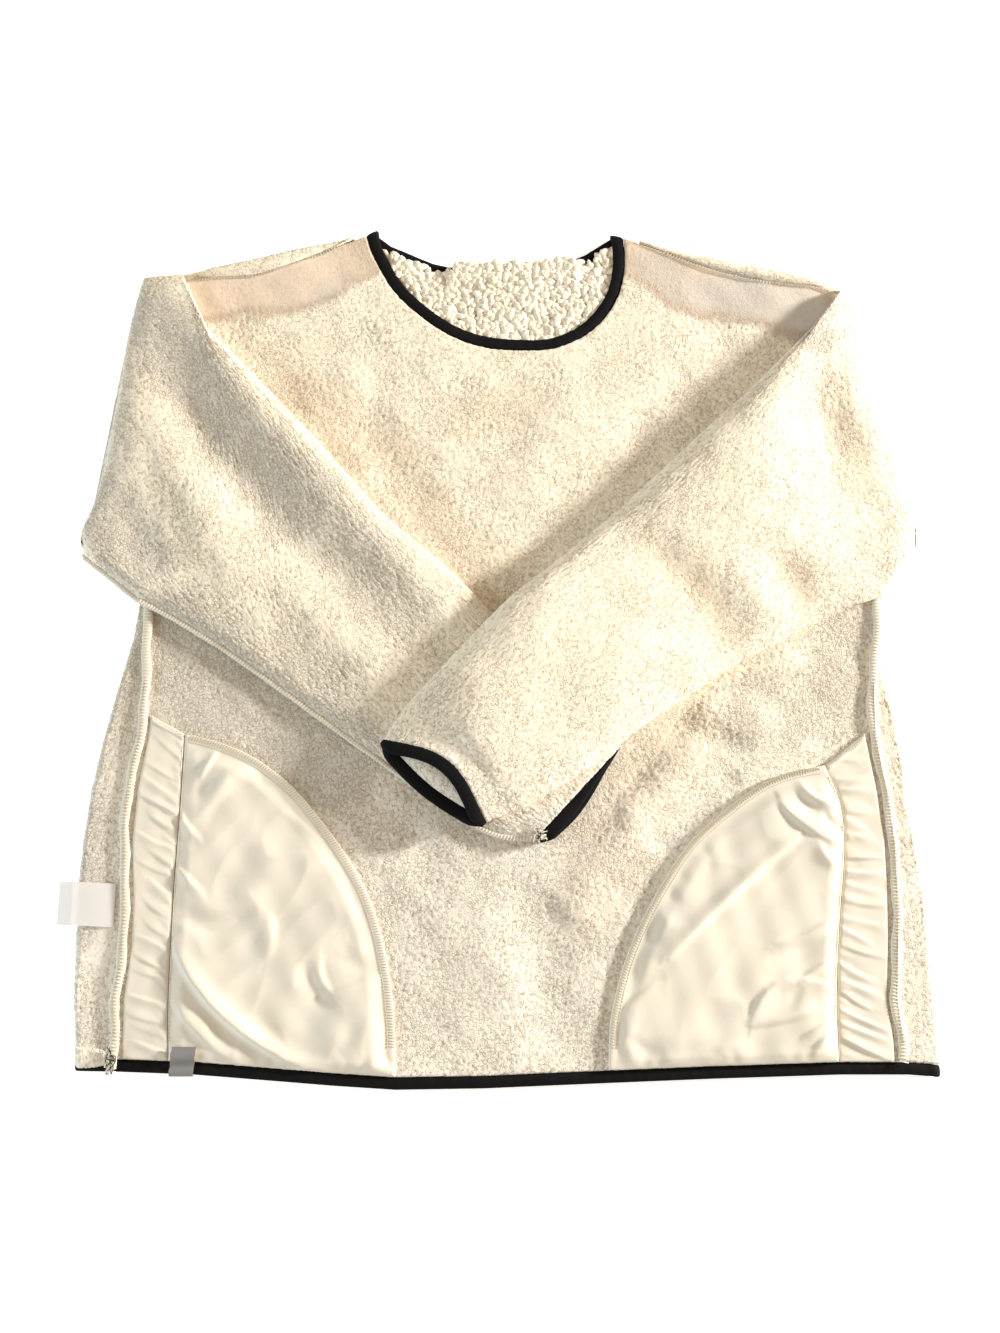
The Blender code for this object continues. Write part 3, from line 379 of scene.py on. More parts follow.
def left_of(points):
    """Mitred unit offsets to the left of an open polyline."""
    steps = np.diff(points, axis=0)
    steps /= np.linalg.norm(steps, axis=1)[:, None]
    sides = np.column_stack([-steps[:, 1], steps[:, 0]])
    before = np.vstack([sides[:1], sides])
    after = np.vstack([sides, sides[-1:]])
    return (before + after) / (1 + (before * after).sum(axis=1))[:, None]


def inward(edge):
    """Mitred unit offsets to the inside of a closed outline that runs anticlockwise."""
    steps = np.roll(edge, -1, axis=0) - edge
    steps /= np.linalg.norm(steps, axis=1)[:, None]
    sides = np.column_stack([-steps[:, 1], steps[:, 0]])
    before = np.roll(sides, 1, axis=0)
    cosine = np.maximum((before * sides).sum(axis=1), -0.5)
    return (before + sides) / (1 + cosine)[:, None]


def to_segment(x, y, x0, y0, x1, y1):
    """Distance in plan from points to a segment."""
    dx, dy = x1 - x0, y1 - y0
    t = np.clip(((x - x0) * dx + (y - y0) * dy) / (dx * dx + dy * dy), 0, 1)
    return np.hypot(x - x0 - t * dx, y - y0 - t * dy)


def creased(x, y, table):
    """Height that the creases of a table add: each is a soft mound round a segment."""
    total = np.zeros(np.shape(x))
    for x0, y0, x1, y1, half, high in table:
        near = np.clip(1 - (to_segment(x, y, x0, y0, x1, y1) / half) ** 2, 0, None)
        total = total + high * near**2
    return total


def ease(value):
    value = np.clip(value, 0, 1)
    return value * value * (3 - 2 * value)


def inside(x, y, outline):
    """Whether points lie inside an outline."""
    x, y = np.atleast_1d(x), np.atleast_1d(y)
    found = np.zeros(x.shape, bool)
    for (ax, ay), (bx, by) in zip(outline, np.roll(outline, -1, axis=0)):
        crosses = (ay > y) != (by > y)
        rise = by - ay if by != ay else 1.0
        found ^= crosses & (x < ax + (y - ay) * (bx - ax) / rise)
    return found


def to_outline(x, y, outline):
    """Distance in plan to a closed outline, negative inside it."""
    near = np.full(np.shape(np.atleast_1d(x)), 1e9)
    for (ax, ay), (bx, by) in zip(outline, np.roll(outline, -1, axis=0)):
        near = np.minimum(near, to_segment(x, y, ax, ay, bx, by))
    return np.where(inside(x, y, outline), -near, near)


def to_line(x, y, line):
    """Distance in plan to an open polyline."""
    near = np.full(np.shape(x), 1e9)
    for (ax, ay), (bx, by) in zip(line, line[1:]):
        near = np.minimum(near, to_segment(x, y, ax, ay, bx, by))
    return near


def folded(x, y, table):
    """Height that folds add. Each row is a bent line (start, middle, end), half-width, height and lean.

    A fold tapers at both ends, and one that leans is steeper to the left (1) or right (-1) of its line.
    """
    total = np.zeros(np.shape(x))
    t = np.linspace(0, 1, 9)[:, None]
    for x0, y0, x1, y1, x2, y2, half, high, lean in table:
        bend = 2 * np.array((x1, y1)) - np.array((x0 + x2, y0 + y2)) / 2
        line = (1 - t) ** 2 * (x0, y0) + 2 * t * (1 - t) * bend + t**2 * (x2, y2)
        near = np.full(np.shape(x), 1e9)
        part, side = near * 0, near * 0
        for k, ((ax, ay), (bx, by)) in enumerate(zip(line, line[1:])):
            dx, dy = bx - ax, by - ay
            s = np.clip(((x - ax) * dx + (y - ay) * dy) / (dx * dx + dy * dy), 0, 1)
            away = np.hypot(x - ax - s * dx, y - ay - s * dy)
            closer = away < near
            part = np.where(closer, (k + s) / 8, part)
            side = np.where(closer, np.sign(dx * (y - ay) - dy * (x - ax)), side)
            near = np.minimum(near, away)
        wide = half * np.where(side * lean > 0, 0.4, 1.0)
        taper = np.sin(np.pi * (0.06 + 0.88 * part)) ** 0.7
        total = total + high * np.exp(-1.3 * (near / wide) ** 2) * taper
    return total


print("length of a quarter circle", round(float(lengths(spline(((1, 0), (0.7, 0.7), (0, 1)), 8))[-1]), 2))


# %% [markdown]
# ## Pile
#
# Sherpa is a knit whose pile is brushed and curled into small tufts that touch each other. The height
# field below puts one tuft round each point of an uneven grid and leaves a narrow valley between
# neighbours. The grid is bent by a few waves first, so the valleys squiggle. The same field moves the
# points of the cloth and, kept as an attribute, darkens its valleys as painted shade.

# %% Pile
def chance(ix, iy, seed):
    """A repeatable number from 0 to 1 for each cell."""
    mixed = np.sin(ix * 127.1 + iy * 311.7 + seed * 74.7) * 43758.5453
    return mixed - np.floor(mixed)


def tufts(x, y, size, seed):
    """Height of the tufts, from 0 in a valley to 1 on a tip."""
    u = x / size + 0.33 * np.sin(2.3 * y / size + 1.1) + 0.22 * np.sin(5.1 * y / size - 2.0 * x / size)
    v = y / size + 0.33 * np.sin(2.6 * x / size + 0.4) + 0.22 * np.sin(4.7 * x / size + 1.7 * y / size)
    cx, cy = np.floor(u), np.floor(v)
    first = np.full(np.shape(u), 9.0)
    second = first.copy()
    for dx in (-1, 0, 1):
        for dy in (-1, 0, 1):
            ix, iy = cx + dx, cy + dy
            px = ix + 0.1 + 0.8 * chance(ix, iy, seed)
            py = iy + 0.1 + 0.8 * chance(ix, iy, seed + 1)
            away = np.hypot(u - px, v - py)
            second = np.minimum(second, np.maximum(first, away))
            first = np.minimum(first, away)
    return np.clip((second - first) * 2.2, 0, 1) ** 0.55


def swell(x, y, size, seed):
    """Slow, uneven waves, from -1 to 1."""
    total = np.zeros(np.shape(x))
    for k in range(4):
        turn = 2.399 * k + seed
        pitch = size * (0.7 + 0.35 * k)
        total = total + np.sin((x * np.cos(turn) + y * np.sin(turn)) / pitch * 2 * np.pi + 1.7 * k + seed)
    return total / 4


NAP = 4.3
NAP_HIGH = 1.0
# Where the nap is brushed flat: x and y of both ends, half-width, share
BRUSHED = (
    (-262, 318, -205, 326, 24, 1.0),
    (-205, 322, -150, 336, 24, 1.0),
    (-150, 338, -118, 352, 18, 0.8),
    (120, 352, 167, 320, 22, 0.9),
    (167, 328, 255, 306, 24, 1.0),
)
# Where a grey shade is painted, also the right sleeve's shadow on the right shoulder: the same columns
GREY_SHADE_PATCHES = (
    (-291, 291, -225, 202, 30, 0.85),
    (-225, 202, -157, 129, 34, 0.85),
    (-157, 129, -79, 50, 32, 0.6),
    (-323, 133, -288, 83, 30, 0.8),
    (-314, 264, -320, 151, 20, 0.5),
    (-125, -15, -158, 17, 24, 0.5),
    (-266, 19, -220, -29, 48, 1.0),
    (-220, -29, -132, -77, 44, 0.9),
    (-308, -21, -320, -77, 22, 0.7),
    (-322, -108, -321, -208, 16, 0.6),
    (-76, -170, -45, -260, 28, 0.4),
    (77, -124, 45, -185, 24, 0.3),
    (130, 340, 160, 318, 20, 0.8),
    (180, 316, 230, 310, 22, 0.9),
    (-150, 316, -128, 330, 12, 0.5),
    (126, 330, 176, 306, 12, 0.6),
    (280, 30, 262, -20, 22, 0.7),
    (-286, -60, -288, -280, 6, 0.4),
    (-110, -130, 60, -190, 70, 0.25),
    (-60, -220, -60, -300, 50, 0.2),
    (90, -230, 70, -300, 22, 0.3),
    (200, -40, 262, -30, 30, 0.5),
    (198, 322, 262, 300, 20, 1.0),
    (236, 306, 262, 272, 14, 1.0),
)
# Where a warm, pinkish shade is painted in dents, troughs and shadows: the same columns
ROSY_SHADE_PATCHES = (
    (-165, 232, -140, 219, 24, 0.8),
    (-123, 188, -90, 179, 24, 0.8),
    (-24, 206, 16, 223, 24, 0.6),
    (-85, 136, -56, 132, 20, 0.6),
    (108, -108, 68, -185, 34, 0.6),
    (156, -61, 124, -93, 28, 0.6),
    (127, 81, 173, 15, 26, 0.7),
    (257, 226, 278, 148, 26, 0.5),
    (223, 81, 237, 48, 22, 0.7),
    (-60, 110, -10, 80, 34, 0.6),
)


def patches(x, y, table):
    """Soft patches of a table, from 0 to 1."""
    total = np.zeros(np.shape(x))
    for x0, y0, x1, y1, half, part in table:
        uneven = 1 + 0.25 * swell(x, y, 40, half)
        near = np.clip(1.25 - to_segment(x, y, x0, y0, x1, y1) / (half * uneven), 0, 1)
        total = np.maximum(total, part * ease(near * 1.5))
    return total


print("a first chance", round(float(chance(1.0, 2.0, 3.0)), 3))


# %% [markdown]
# ## From outline to shell
#
# A panel is an outline filled with points: a fine grid where it shows and a coarse one where something
# lies on it. Delaunay triangulation joins any set of points neatly, so the two grids need no matching.
# The rim is rolled, and the underside is plain.

# %% Panels
def dense(edge, roll, top, pitch):
    """The outline with more points, and where the first ones are now."""
    count = len(edge)
    out_edge, out_roll, out_top, where = [], [], [], []
    for i in range(count):
        j = (i + 1) % count
        where.append(len(out_edge))
        cuts = max(1, int(np.linalg.norm(edge[j] - edge[i]) / pitch))
        for k in range(cuts):
            t = k / cuts
            out_edge.append(edge[i] + (edge[j] - edge[i]) * t)
            out_roll.append(roll[i] + (roll[j] - roll[i]) * t)
            out_top.append(top[i] + (top[j] - top[i]) * t)
    return np.array(out_edge), np.array(out_roll), np.array(out_top), where


def triangles(points, count, lines=()):
    """Triangles that fill the outline made by the first count points."""
    edges = [(i, (i + 1) % count) for i in range(count)]
    for line in lines:
        edges += list(zip(line[:-1], line[1:]))
    made = delaunay_2d_cdt([Vector(p) for p in points], edges, [], 1, 1e-6)
    verts = np.array([tuple(p) for p in made[0]])
    faces = np.array(made[2])
    source = np.array([found[0] if found else -1 for found in made[3]])
    a, b, c = verts[faces[:, 0]], verts[faces[:, 1]], verts[faces[:, 2]]
    turn = (b[:, 0] - a[:, 0]) * (c[:, 1] - a[:, 1]) - (b[:, 1] - a[:, 1]) * (c[:, 0] - a[:, 0])
    faces = source[faces]
    faces[turn < 0] = faces[turn < 0][:, ::-1]
    return faces


def panel(edge, roll, top, low, height, spots, rails=(), angles=(30, 60, 90, 120, 150), pitch=2.2):
    """A closed panel. height(x, y) gives the top at the spots; rails are (start, x-y-z points, end)."""
    edge = np.array(edge, float)
    roll = np.array(roll, float) * np.ones(len(edge))
    top = np.array(top, float) * np.ones(len(edge))
    edge, roll, top, where = dense(edge, roll, top, pitch)
    count = len(edge)
    inset = edge + inward(edge) * roll[:, None]
    flat = [inset]
    heights = [top]
    lines = []
    used = count
    for start, rail, end in rails:
        rail = np.array(rail, float)
        line = [where[start]] + list(range(used, used + len(rail))) + [where[end]]
        used += len(rail)
        flat.append(rail[:, :2])
        heights.append(rail[:, 2])
        lines.append(line)
    flat.append(spots)
    heights.append(height(spots[:, 0], spots[:, 1]))
    flat, heights = np.vstack(flat), np.concatenate(heights)
    upper = triangles(flat, count, lines)
    verts = [np.column_stack([flat, heights])]
    rows = [np.arange(count)]
    base = len(flat)
    middle, half = (heights[:count] + low) / 2, (heights[:count] - low) / 2
    for angle in np.radians(angles):
        place = inset + (edge - inset) * np.sin(angle)
        verts.append(np.column_stack([place, middle + half * np.cos(angle)]))
        rows.append(np.arange(base, base + count))
        base += count
    verts.append(np.column_stack([inset, np.full(count, float(low))]))
    rows.append(np.arange(base, base + count))
    quads = []
    for one, other in zip(rows, rows[1:]):
        quads.append(np.column_stack([np.roll(one, -1), one, other, np.roll(other, -1)]))
    under = rows[-1][triangles(inset, count)][:, ::-1]
    return np.vstack(verts), [upper, under, np.vstack(quads)]


def grid_spots(outline, pitch, keep, seed=0):
    """Points of a slightly uneven triangular grid where keep(x, y) holds, inside an outline."""
    low, high = outline.min(axis=0), outline.max(axis=0)
    rows = np.arange(low[1], high[1], pitch * 0.866)
    columns = np.arange(low[0], high[0], pitch)
    x, y = np.meshgrid(columns, rows)
    x = x + (np.arange(len(rows)) % 2)[:, None] * pitch / 2
    x, y = x.ravel(), y.ravel()
    x = x + (chance(x, y, seed) - 0.5) * pitch * 0.3
    y = y + (chance(y, x, seed + 5) - 0.5) * pitch * 0.3
    away = to_outline(x, y, outline)
    chosen = (away < -pitch * 0.7) & keep(x, y)
    return np.column_stack([x[chosen], y[chosen]])


def everywhere(x, y):
    """Keeps every spot of a grid."""
    return np.ones(x.shape, bool)


# %% Into Blender
def mesh_of(name, verts, groups):
    """A mesh from points in millimetres and arrays of faces."""
    mesh = bpy.data.meshes.new(name)
    moved = (np.array(verts) - (MIDDLE_X, MIDDLE_Y, 0)) * MM
    faces = [list(f) for group in groups for f in (group.tolist() if hasattr(group, "tolist") else group)]
    mesh.from_pydata(moved.tolist(), [], faces)
    mesh.validate()
    mesh.shade_smooth()
    return mesh


def signed_volume(verts, quads):
    a, b, c, d = (verts[quads[:, k]] for k in range(4))
    return float((a * np.cross(b, c)).sum() + (a * np.cross(c, d)).sum())


def tube_faces(verts, size, closed=False):
    """Faces of a tube made of rings of the same size, facing out. An open tube gets a cap at each end."""
    count = len(verts) // size
    ids = np.arange(size)
    quads = []
    for i in range(count if closed else count - 1):
        a, b = i * size + ids, (i + 1) % count * size + ids
        quads.append(np.column_stack([a, np.roll(a, -1), np.roll(b, -1), b]))
    quads = np.vstack(quads)
    caps = [] if closed else [list(range(size))[::-1], [(count - 1) * size + k for k in range(size)]]
    if signed_volume(verts, quads) < 0:
        quads, caps = quads[:, ::-1], [cap[::-1] for cap in caps]
    return [quads, caps]


def normals_of(mesh):
    out = np.empty(len(mesh.vertices) * 3, np.float32)
    mesh.vertex_normals.foreach_get("vector", out)
    return out.reshape(-1, 3)


def keep_value(mesh, name, values):
    made = mesh.attributes.new(name, "FLOAT", "POINT")
    made.data.foreach_set("value", np.asarray(values, np.float32))


def furred(mesh, verts, size, high, seed, shows, on_front=0.0):
    """Moves the points that show along their normals by the tufts, and keeps the tufts as an attribute."""
    verts = np.array(verts, float)
    x = verts[:, 0] + 0.6 * verts[:, 2]
    y = verts[:, 1] - 0.8 * verts[:, 2]
    tuft = tufts(x, y, size, seed)
    lie = patches(verts[:, 0], verts[:, 1], BRUSHED) * on_front
    tall = high * (0.8 + 0.35 * swell(x, y, 60, seed)) * (1 - 0.65 * lie) * shows
    normal = normals_of(mesh)
    co = np.empty(len(verts) * 3, np.float32)
    mesh.vertices.foreach_get("co", co)
    co = co.reshape(-1, 3) + normal * ((tuft - 0.62) * tall)[:, None] * MM
    co[:, 2] = np.maximum(co[:, 2], 0.0)
    mesh.vertices.foreach_set("co", co.ravel())
    keep_value(mesh, "tuft", tuft * shows + (1 - shows) * 0.7)
    keep_value(mesh, "lie", lie)
    # These two attributes carry painted shade: a grey shade and a pinkish shade, from the two tables of
    # patches
    keep_value(mesh, "turned", patches(verts[:, 0], verts[:, 1], GREY_SHADE_PATCHES))
    keep_value(mesh, "rosy_shade", patches(verts[:, 0], verts[:, 1], ROSY_SHADE_PATCHES))
    mesh.update()


def piece(name, mesh, material, slot, *nodes):
    """An object that rides with the garment and stands for the named solids."""
    made = bpy.data.objects.new(name, mesh)
    bpy.context.scene.collection.objects.link(made)
    mesh.materials.clear()
    mesh.materials.append(material)
    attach(made, "root")
    if nodes:
        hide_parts(*nodes)
    print(name, len(mesh.polygons), "faces")
    return made


# %% [markdown]
# ## Shader arithmetic
#
# Materials are node trees, but sums read better as Python. The class wraps a socket, and an expression on
# wrapped sockets adds Math nodes for it.

# %% Shader arithmetic
class Wire:
    def __init__(self, tree, socket):
        self.tree, self.socket = tree, socket

    def join(self, kind, other, turned=False):
        node = self.tree.nodes.new("ShaderNodeMath")
        node.operation = kind
        pair = [self, other][::-1] if turned else [self, other]
        for slot_, value in zip(node.inputs, pair):
            if isinstance(value, Wire):
                self.tree.links.new(value.socket, slot_)
            else:
                slot_.default_value = value
        return Wire(self.tree, node.outputs[0])

    def __add__(self, other):
        return self.join("ADD", other)

    __radd__ = __add__

    def __mul__(self, other):
        return self.join("MULTIPLY", other)

    __rmul__ = __mul__

    def __sub__(self, other):
        return self.join("SUBTRACT", other)

    def __rsub__(self, other):
        return self.join("SUBTRACT", other, True)

    def power(self, other):
        return self.join("POWER", other)

    def clamp(self):
        made = self.join("ADD", 0.0)
        made.socket.node.use_clamp = True
        return made


class Cloth:
    """One material: its tree, its shader and the nodes that are asked for."""

    def __init__(self, name, roughness, **fixed):
        self.material = bpy.data.materials.new(name)
        self.material.use_nodes = True
        self.tree = self.material.node_tree
        self.shader = self.tree.nodes["Principled BSDF"]
        self.shader.inputs["Roughness"].default_value = roughness
        for key, value in fixed.items():
            self.shader.inputs[key.replace("_", " ")].default_value = value
        place = self.tree.nodes.new("ShaderNodeTexCoord").outputs["Object"]
        scaled = self.node("ShaderNodeVectorMath", {"operation": "SCALE"}, {0: place, "Scale": 1000.0})
        self.mm = scaled.socket

    def node(self, kind, settings, values, output=0):
        node = self.tree.nodes.new(kind)
        for key, value in settings.items():
            setattr(node, key, value)
        for key, value in values.items():
            if isinstance(value, Wire):
                value = value.socket
            if isinstance(value, bpy.types.NodeSocket):
                self.tree.links.new(value, node.inputs[key])
            else:
                node.inputs[key].default_value = value
        return Wire(self.tree, node.outputs[output])

    def noise(self, size, detail=2.0, place=None):
        values = {"Vector": place or self.mm, "Scale": 1.0 / size, "Detail": detail}
        return self.node("ShaderNodeTexNoise", {}, values, "Fac")

    def bent(self, size, by):
        """Coordinates pushed about by noise, for lines that squiggle."""
        values = {"Vector": self.mm, "Scale": 1.0 / size, "Detail": 1.0}
        noise = self.node("ShaderNodeTexNoise", {}, values, "Color")
        shift = self.node("ShaderNodeVectorMath", {"operation": "SUBTRACT"}, {0: noise, 1: (0.5, 0.5, 0.5)})
        shift = self.node("ShaderNodeVectorMath", {"operation": "SCALE"}, {0: shift, "Scale": by})
        return self.node("ShaderNodeVectorMath", {"operation": "ADD"}, {0: self.mm, 1: shift}).socket

    def cells(self, size, place, feature="F1"):
        values = {"Vector": place, "Scale": 1.0 / size}
        return self.node("ShaderNodeTexVoronoi", {"feature": feature}, values, "Distance")

    def value(self, name):
        return self.node("ShaderNodeAttribute", {"attribute_name": name}, {}, "Fac")

    def mix(self, share, one, other):
        node = self.tree.nodes.new("ShaderNodeMix")
        node.data_type = "RGBA"
        sockets = node.inputs["Factor"], node.inputs[6], node.inputs[7]
        for socket, value in zip(sockets, (share, one, other)):
            if isinstance(value, Wire):
                self.tree.links.new(value.socket, socket)
            else:
                socket.default_value = value if isinstance(value, float) else (*value, 1)
        return Wire(self.tree, node.outputs[2])

    def colour(self, wire):
        self.tree.links.new(wire.socket, self.shader.inputs["Base Color"])

    def relief(self, wire, millimetres, strength=1.0):
        values = {"Height": wire, "Distance": millimetres * MM, "Strength": strength}
        made = self.node("ShaderNodeBump", {}, values, "Normal")
        self.tree.links.new(made.socket, self.shader.inputs["Normal"])


# %% [markdown]
# ## Finishes
#
# The fleece is a warm cream whose valleys are painted darker and tan, as painted shade. Its fibres are far
# finer than the mesh, so a second, smaller set of squiggles and a fine grain are bump, and the squiggles
# are painted darker too, as shade. The jersey of the pockets is smooth with a fine rib, the bindings are a
# fine black knit, the tab is a grey tape and the label a thin white satin.

# %% Fleece
# Colours that the ground takes: a warmer cream in slow patches, a paler painted light towards the hem,
# a pinkish and a grey painted shade, and a brown painted shade round the parts that are brushed flat
WARM = (0.92, 0.83, 0.66)
PALE_LIGHT = (0.93, 0.885, 0.82)
ROSE_SHADE = (0.86, 0.70, 0.55)
COOL_SHADE = (0.60, 0.59, 0.565)
BORDER_SHADE = (0.50, 0.38, 0.28)


def fleece(name, tip, valley, lain, fine, valley_shade):
    cloth = Cloth(name, 0.95, Sheen_Weight=0.2, Sheen_Roughness=0.6, Specular_IOR_Level=0.12)
    edge = cloth.cells(fine, cloth.bent(1.9, 2.6), "DISTANCE_TO_EDGE")
    line = (1.0 - edge * 6.0).clamp()
    strands = cloth.noise(0.9, 3.0, cloth.bent(1.2, 1.6))
    tuft, lie = cloth.value("tuft"), cloth.value("lie")
    # Shares of the painted grey shade and the painted pinkish shade
    turned, rosy_shade = cloth.value("turned"), cloth.value("rosy_shade")
    # The thin dark squiggles are denser where grey shade is painted
    broken = cloth.noise(3.2, 1.0) * 4.0 - 1.5 + (cloth.noise(30.0, 1.0) - 0.5) * 2.0 + turned * 0.6
    squiggle = line * broken.clamp()
    smooth_part = 1.0 - lie * 0.7
    # Painted shade: the valleys between tufts and the squiggles darken towards the valley colour
    dark = ((1.0 - tuft).power(1.6) * valley_shade + squiggle * 0.62) * smooth_part + strands * 0.12 - 0.05
    tone = (cloth.noise(48.0, 2.0) * 1.8 - 0.45).clamp()
    up = cloth.node("ShaderNodeSeparateXYZ", {}, {"Vector": cloth.mm}, "Y")
    ground = cloth.mix(tone * 0.6, tip, WARM)
    # Painted light: the ground gets paler towards the hem
    ground = cloth.mix((up * -0.009 - 0.4).clamp() * 0.7, ground, PALE_LIGHT)
    # Painted shade: pinkish in dents, troughs and shadows
    ground = cloth.mix(rosy_shade * 0.55, ground, ROSE_SHADE)
    ground = cloth.mix(lie * 0.8, ground, lain)
    # Painted shade: grey in shaded parts and in the right sleeve's shadow on the right shoulder
    ground = cloth.mix(turned * 0.7, ground, COOL_SHADE)
    # Painted shade: a brown band round the borders of the brushed patches
    ground = cloth.mix(lie * (1.0 - lie) * 2.4, ground, BORDER_SHADE)
    cloth.colour(cloth.mix(dark.clamp(), ground, valley))
    cloth.relief((strands * 0.45 - squiggle * 0.8) * smooth_part + strands * 0.25, 0.6, 0.8)
    return cloth.material


# Name, tips, painted shade of the valleys, colour where brushed flat, width of a tuft in millimetres, how
# strong the valleys' painted shade is
nap_finish = fleece("sherpa_nap", (0.95, 0.885, 0.76), (0.43, 0.32, 0.205), (0.74, 0.59, 0.48), 2.6, 0.34)
curl_finish = fleece("sherpa_curl", (0.96, 0.90, 0.78), (0.70, 0.57, 0.42), (0.84, 0.70, 0.58), 2.4, 0.42)
print("fleece nodes", len(nap_finish.node_tree.nodes))

# %% Jersey, bindings, tape, satin and thread
def knit(name, colour, shade, rib, roughness, **fixed):
    """A smooth knit: fine ribs crossed by a fainter, finer grain."""
    cloth = Cloth(name, roughness, **fixed)
    values = {"Vector": cloth.bent(2.5, 0.35), "Scale": 1.0 / rib, "Distortion": 0.6}
    ribs = cloth.node("ShaderNodeTexWave", {"bands_direction": "X"}, values, "Fac")
    grain = cloth.noise(0.6, 2.0)
    tone = cloth.noise(38.0, 3.0)
    cloth.colour(cloth.mix((tone * 1.5 - 0.4).clamp(), colour, shade))
    cloth.relief(ribs * 0.5 + grain * 0.5, 0.12, 0.5)
    return cloth.material


# Name, colour, second colour, width of a rib in millimetres, roughness
jersey_finish = knit(
    "pocket_jersey", (0.82, 0.76, 0.665), (0.68, 0.665, 0.60), 1.9, 0.85,
    Sheen_Weight=0.1, Specular_IOR_Level=0.2,
)
binding_finish = knit(
    "black_binding", (0.004, 0.004, 0.005), (0.009, 0.008, 0.009), 1.6, 0.8,
    Specular_IOR_Level=0.12,
)
tape_finish = knit("grey_tape", (0.22, 0.215, 0.225), (0.26, 0.255, 0.265), 0.9, 0.6)
satin_finish = knit("label_satin", (0.96, 0.94, 0.94), (0.92, 0.90, 0.90), 0.8, 0.45, Alpha=0.72)
thread_finish = knit("cream_thread", (0.90, 0.85, 0.75), (0.82, 0.77, 0.66), 0.5, 0.7, Sheen_Weight=0.1)
rope_finish = knit("overlocked_edge", (0.76, 0.70, 0.60), (0.68, 0.62, 0.52), 1.3, 0.9)
seam_thread_finish = knit("grey_thread", (0.60, 0.55, 0.44), (0.50, 0.46, 0.37), 0.5, 0.6)
black_thread_finish = knit("black_thread", (0.015, 0.014, 0.016), (0.03, 0.03, 0.03), 0.5, 0.6)
floor_finish = Cloth("floor_paper", 0.9, Emission_Color=(1, 1, 1, 1), Emission_Strength=0.6)
floor_finish.colour(floor_finish.mix(floor_finish.noise(90.0, 2.0), (0.93, 0.93, 0.93), (0.95, 0.95, 0.95)))
floor_mesh.materials.append(floor_finish.material)
print("materials", len(bpy.data.materials))

# %% [markdown]
# ## Seams that the panels share
#
# The side seams were sewn with both edges inside, and turned inside out they stand up as a soft rope, a
# little to the front of the fold. The shoulder seams lie below the fold too.

# %% Seams
def share(table, span, part):
    a, b = np.array(table[span], float), np.array(table[span + 1], float)
    return a + (b - a) * part


left_top, right_top = (share(t, 0, SEAM_AT_SHOULDER) for t in (LEFT_ARMHOLE, RIGHT_ARMHOLE))
left_under, right_under = (share(t, 6, SEAM_AT_UNDERARM) for t in (LEFT_ARMHOLE, RIGHT_ARMHOLE))
body_up = sorted(BODY)


def side_seam(index, under):
    """A side seam from the hem up to the armhole."""
    rows = [(row[index], row[0]) for row in body_up[1:]]
    x = body_up[0][index]
    turn = under + np.array((-1.2 if index == 2 else 1.2, -34.0))
    low = float(hem_y(x)) + GAP
    return np.vstack([[(x, low), (x, low + 15)], rows, [turn, under]])


left_side = side_seam(2, left_under)
right_side = side_seam(3, right_under)
left_shoulder = np.vstack([[left_top], [(x, seam) for x, _, seam in LEFT_SHOULDER], [LEFT_SHOULDER_END]])
right_shoulder = np.vstack([[right_top], [(x, seam) for x, _, seam in RIGHT_SHOULDER], [RIGHT_SHOULDER_END]])


def ridge(y):
    """Share of the side seam's ridge that stands at y: none at the hem and under a sleeve."""
    return float(ease((y + 302) / 14) * ease((19 - y) / 30))


def rope(away, y):
    """Height that the cloth rises beside a side seam, at some distance to its side."""
    rise = ease((y + 304) / 10) * ease((60 - y) / 14)
    return 0.7 * np.clip(1 - (away / RIDGE_FOOT_AT) ** 2, 0, 1) ** 0.7 * rise


def to_sides(x, y):
    return np.minimum(to_line(x, y, left_side), to_line(x, y, right_side))


def to_shoulders(x, y):
    return np.minimum(to_line(x, y, left_shoulder), to_line(x, y, right_shoulder))


print("side seams", len(left_side), len(right_side), "points")


# %% Neck stations
# Neck, seen from above: edge of the front panel along the binding, and the free edge at the back: x, y
NECK_FRONT = (
    (-114, 373),
    (-111, 362),
    (-105, 349),
    (-95, 330),
    (-83, 314),
    (-63, 296),
    (-39, 280),
    (-10, 270.5),
    (23, 268),
    (43, 269),
    (60, 275),
    (76, 285),
    (90, 300),
    (100, 318),
    (105, 338),
    (106, 356),
    (105, 371),
)
NECK_BACK = (
    (-103, 375),
    (-93, 367),
    (-77, 360),
    (-60, 352),
    (-43, 347.5),
    (-2, 348),
    (41, 350),
    (57, 352.5),
    (71, 358),
    (83, 366),
    (94, 373.5),
)


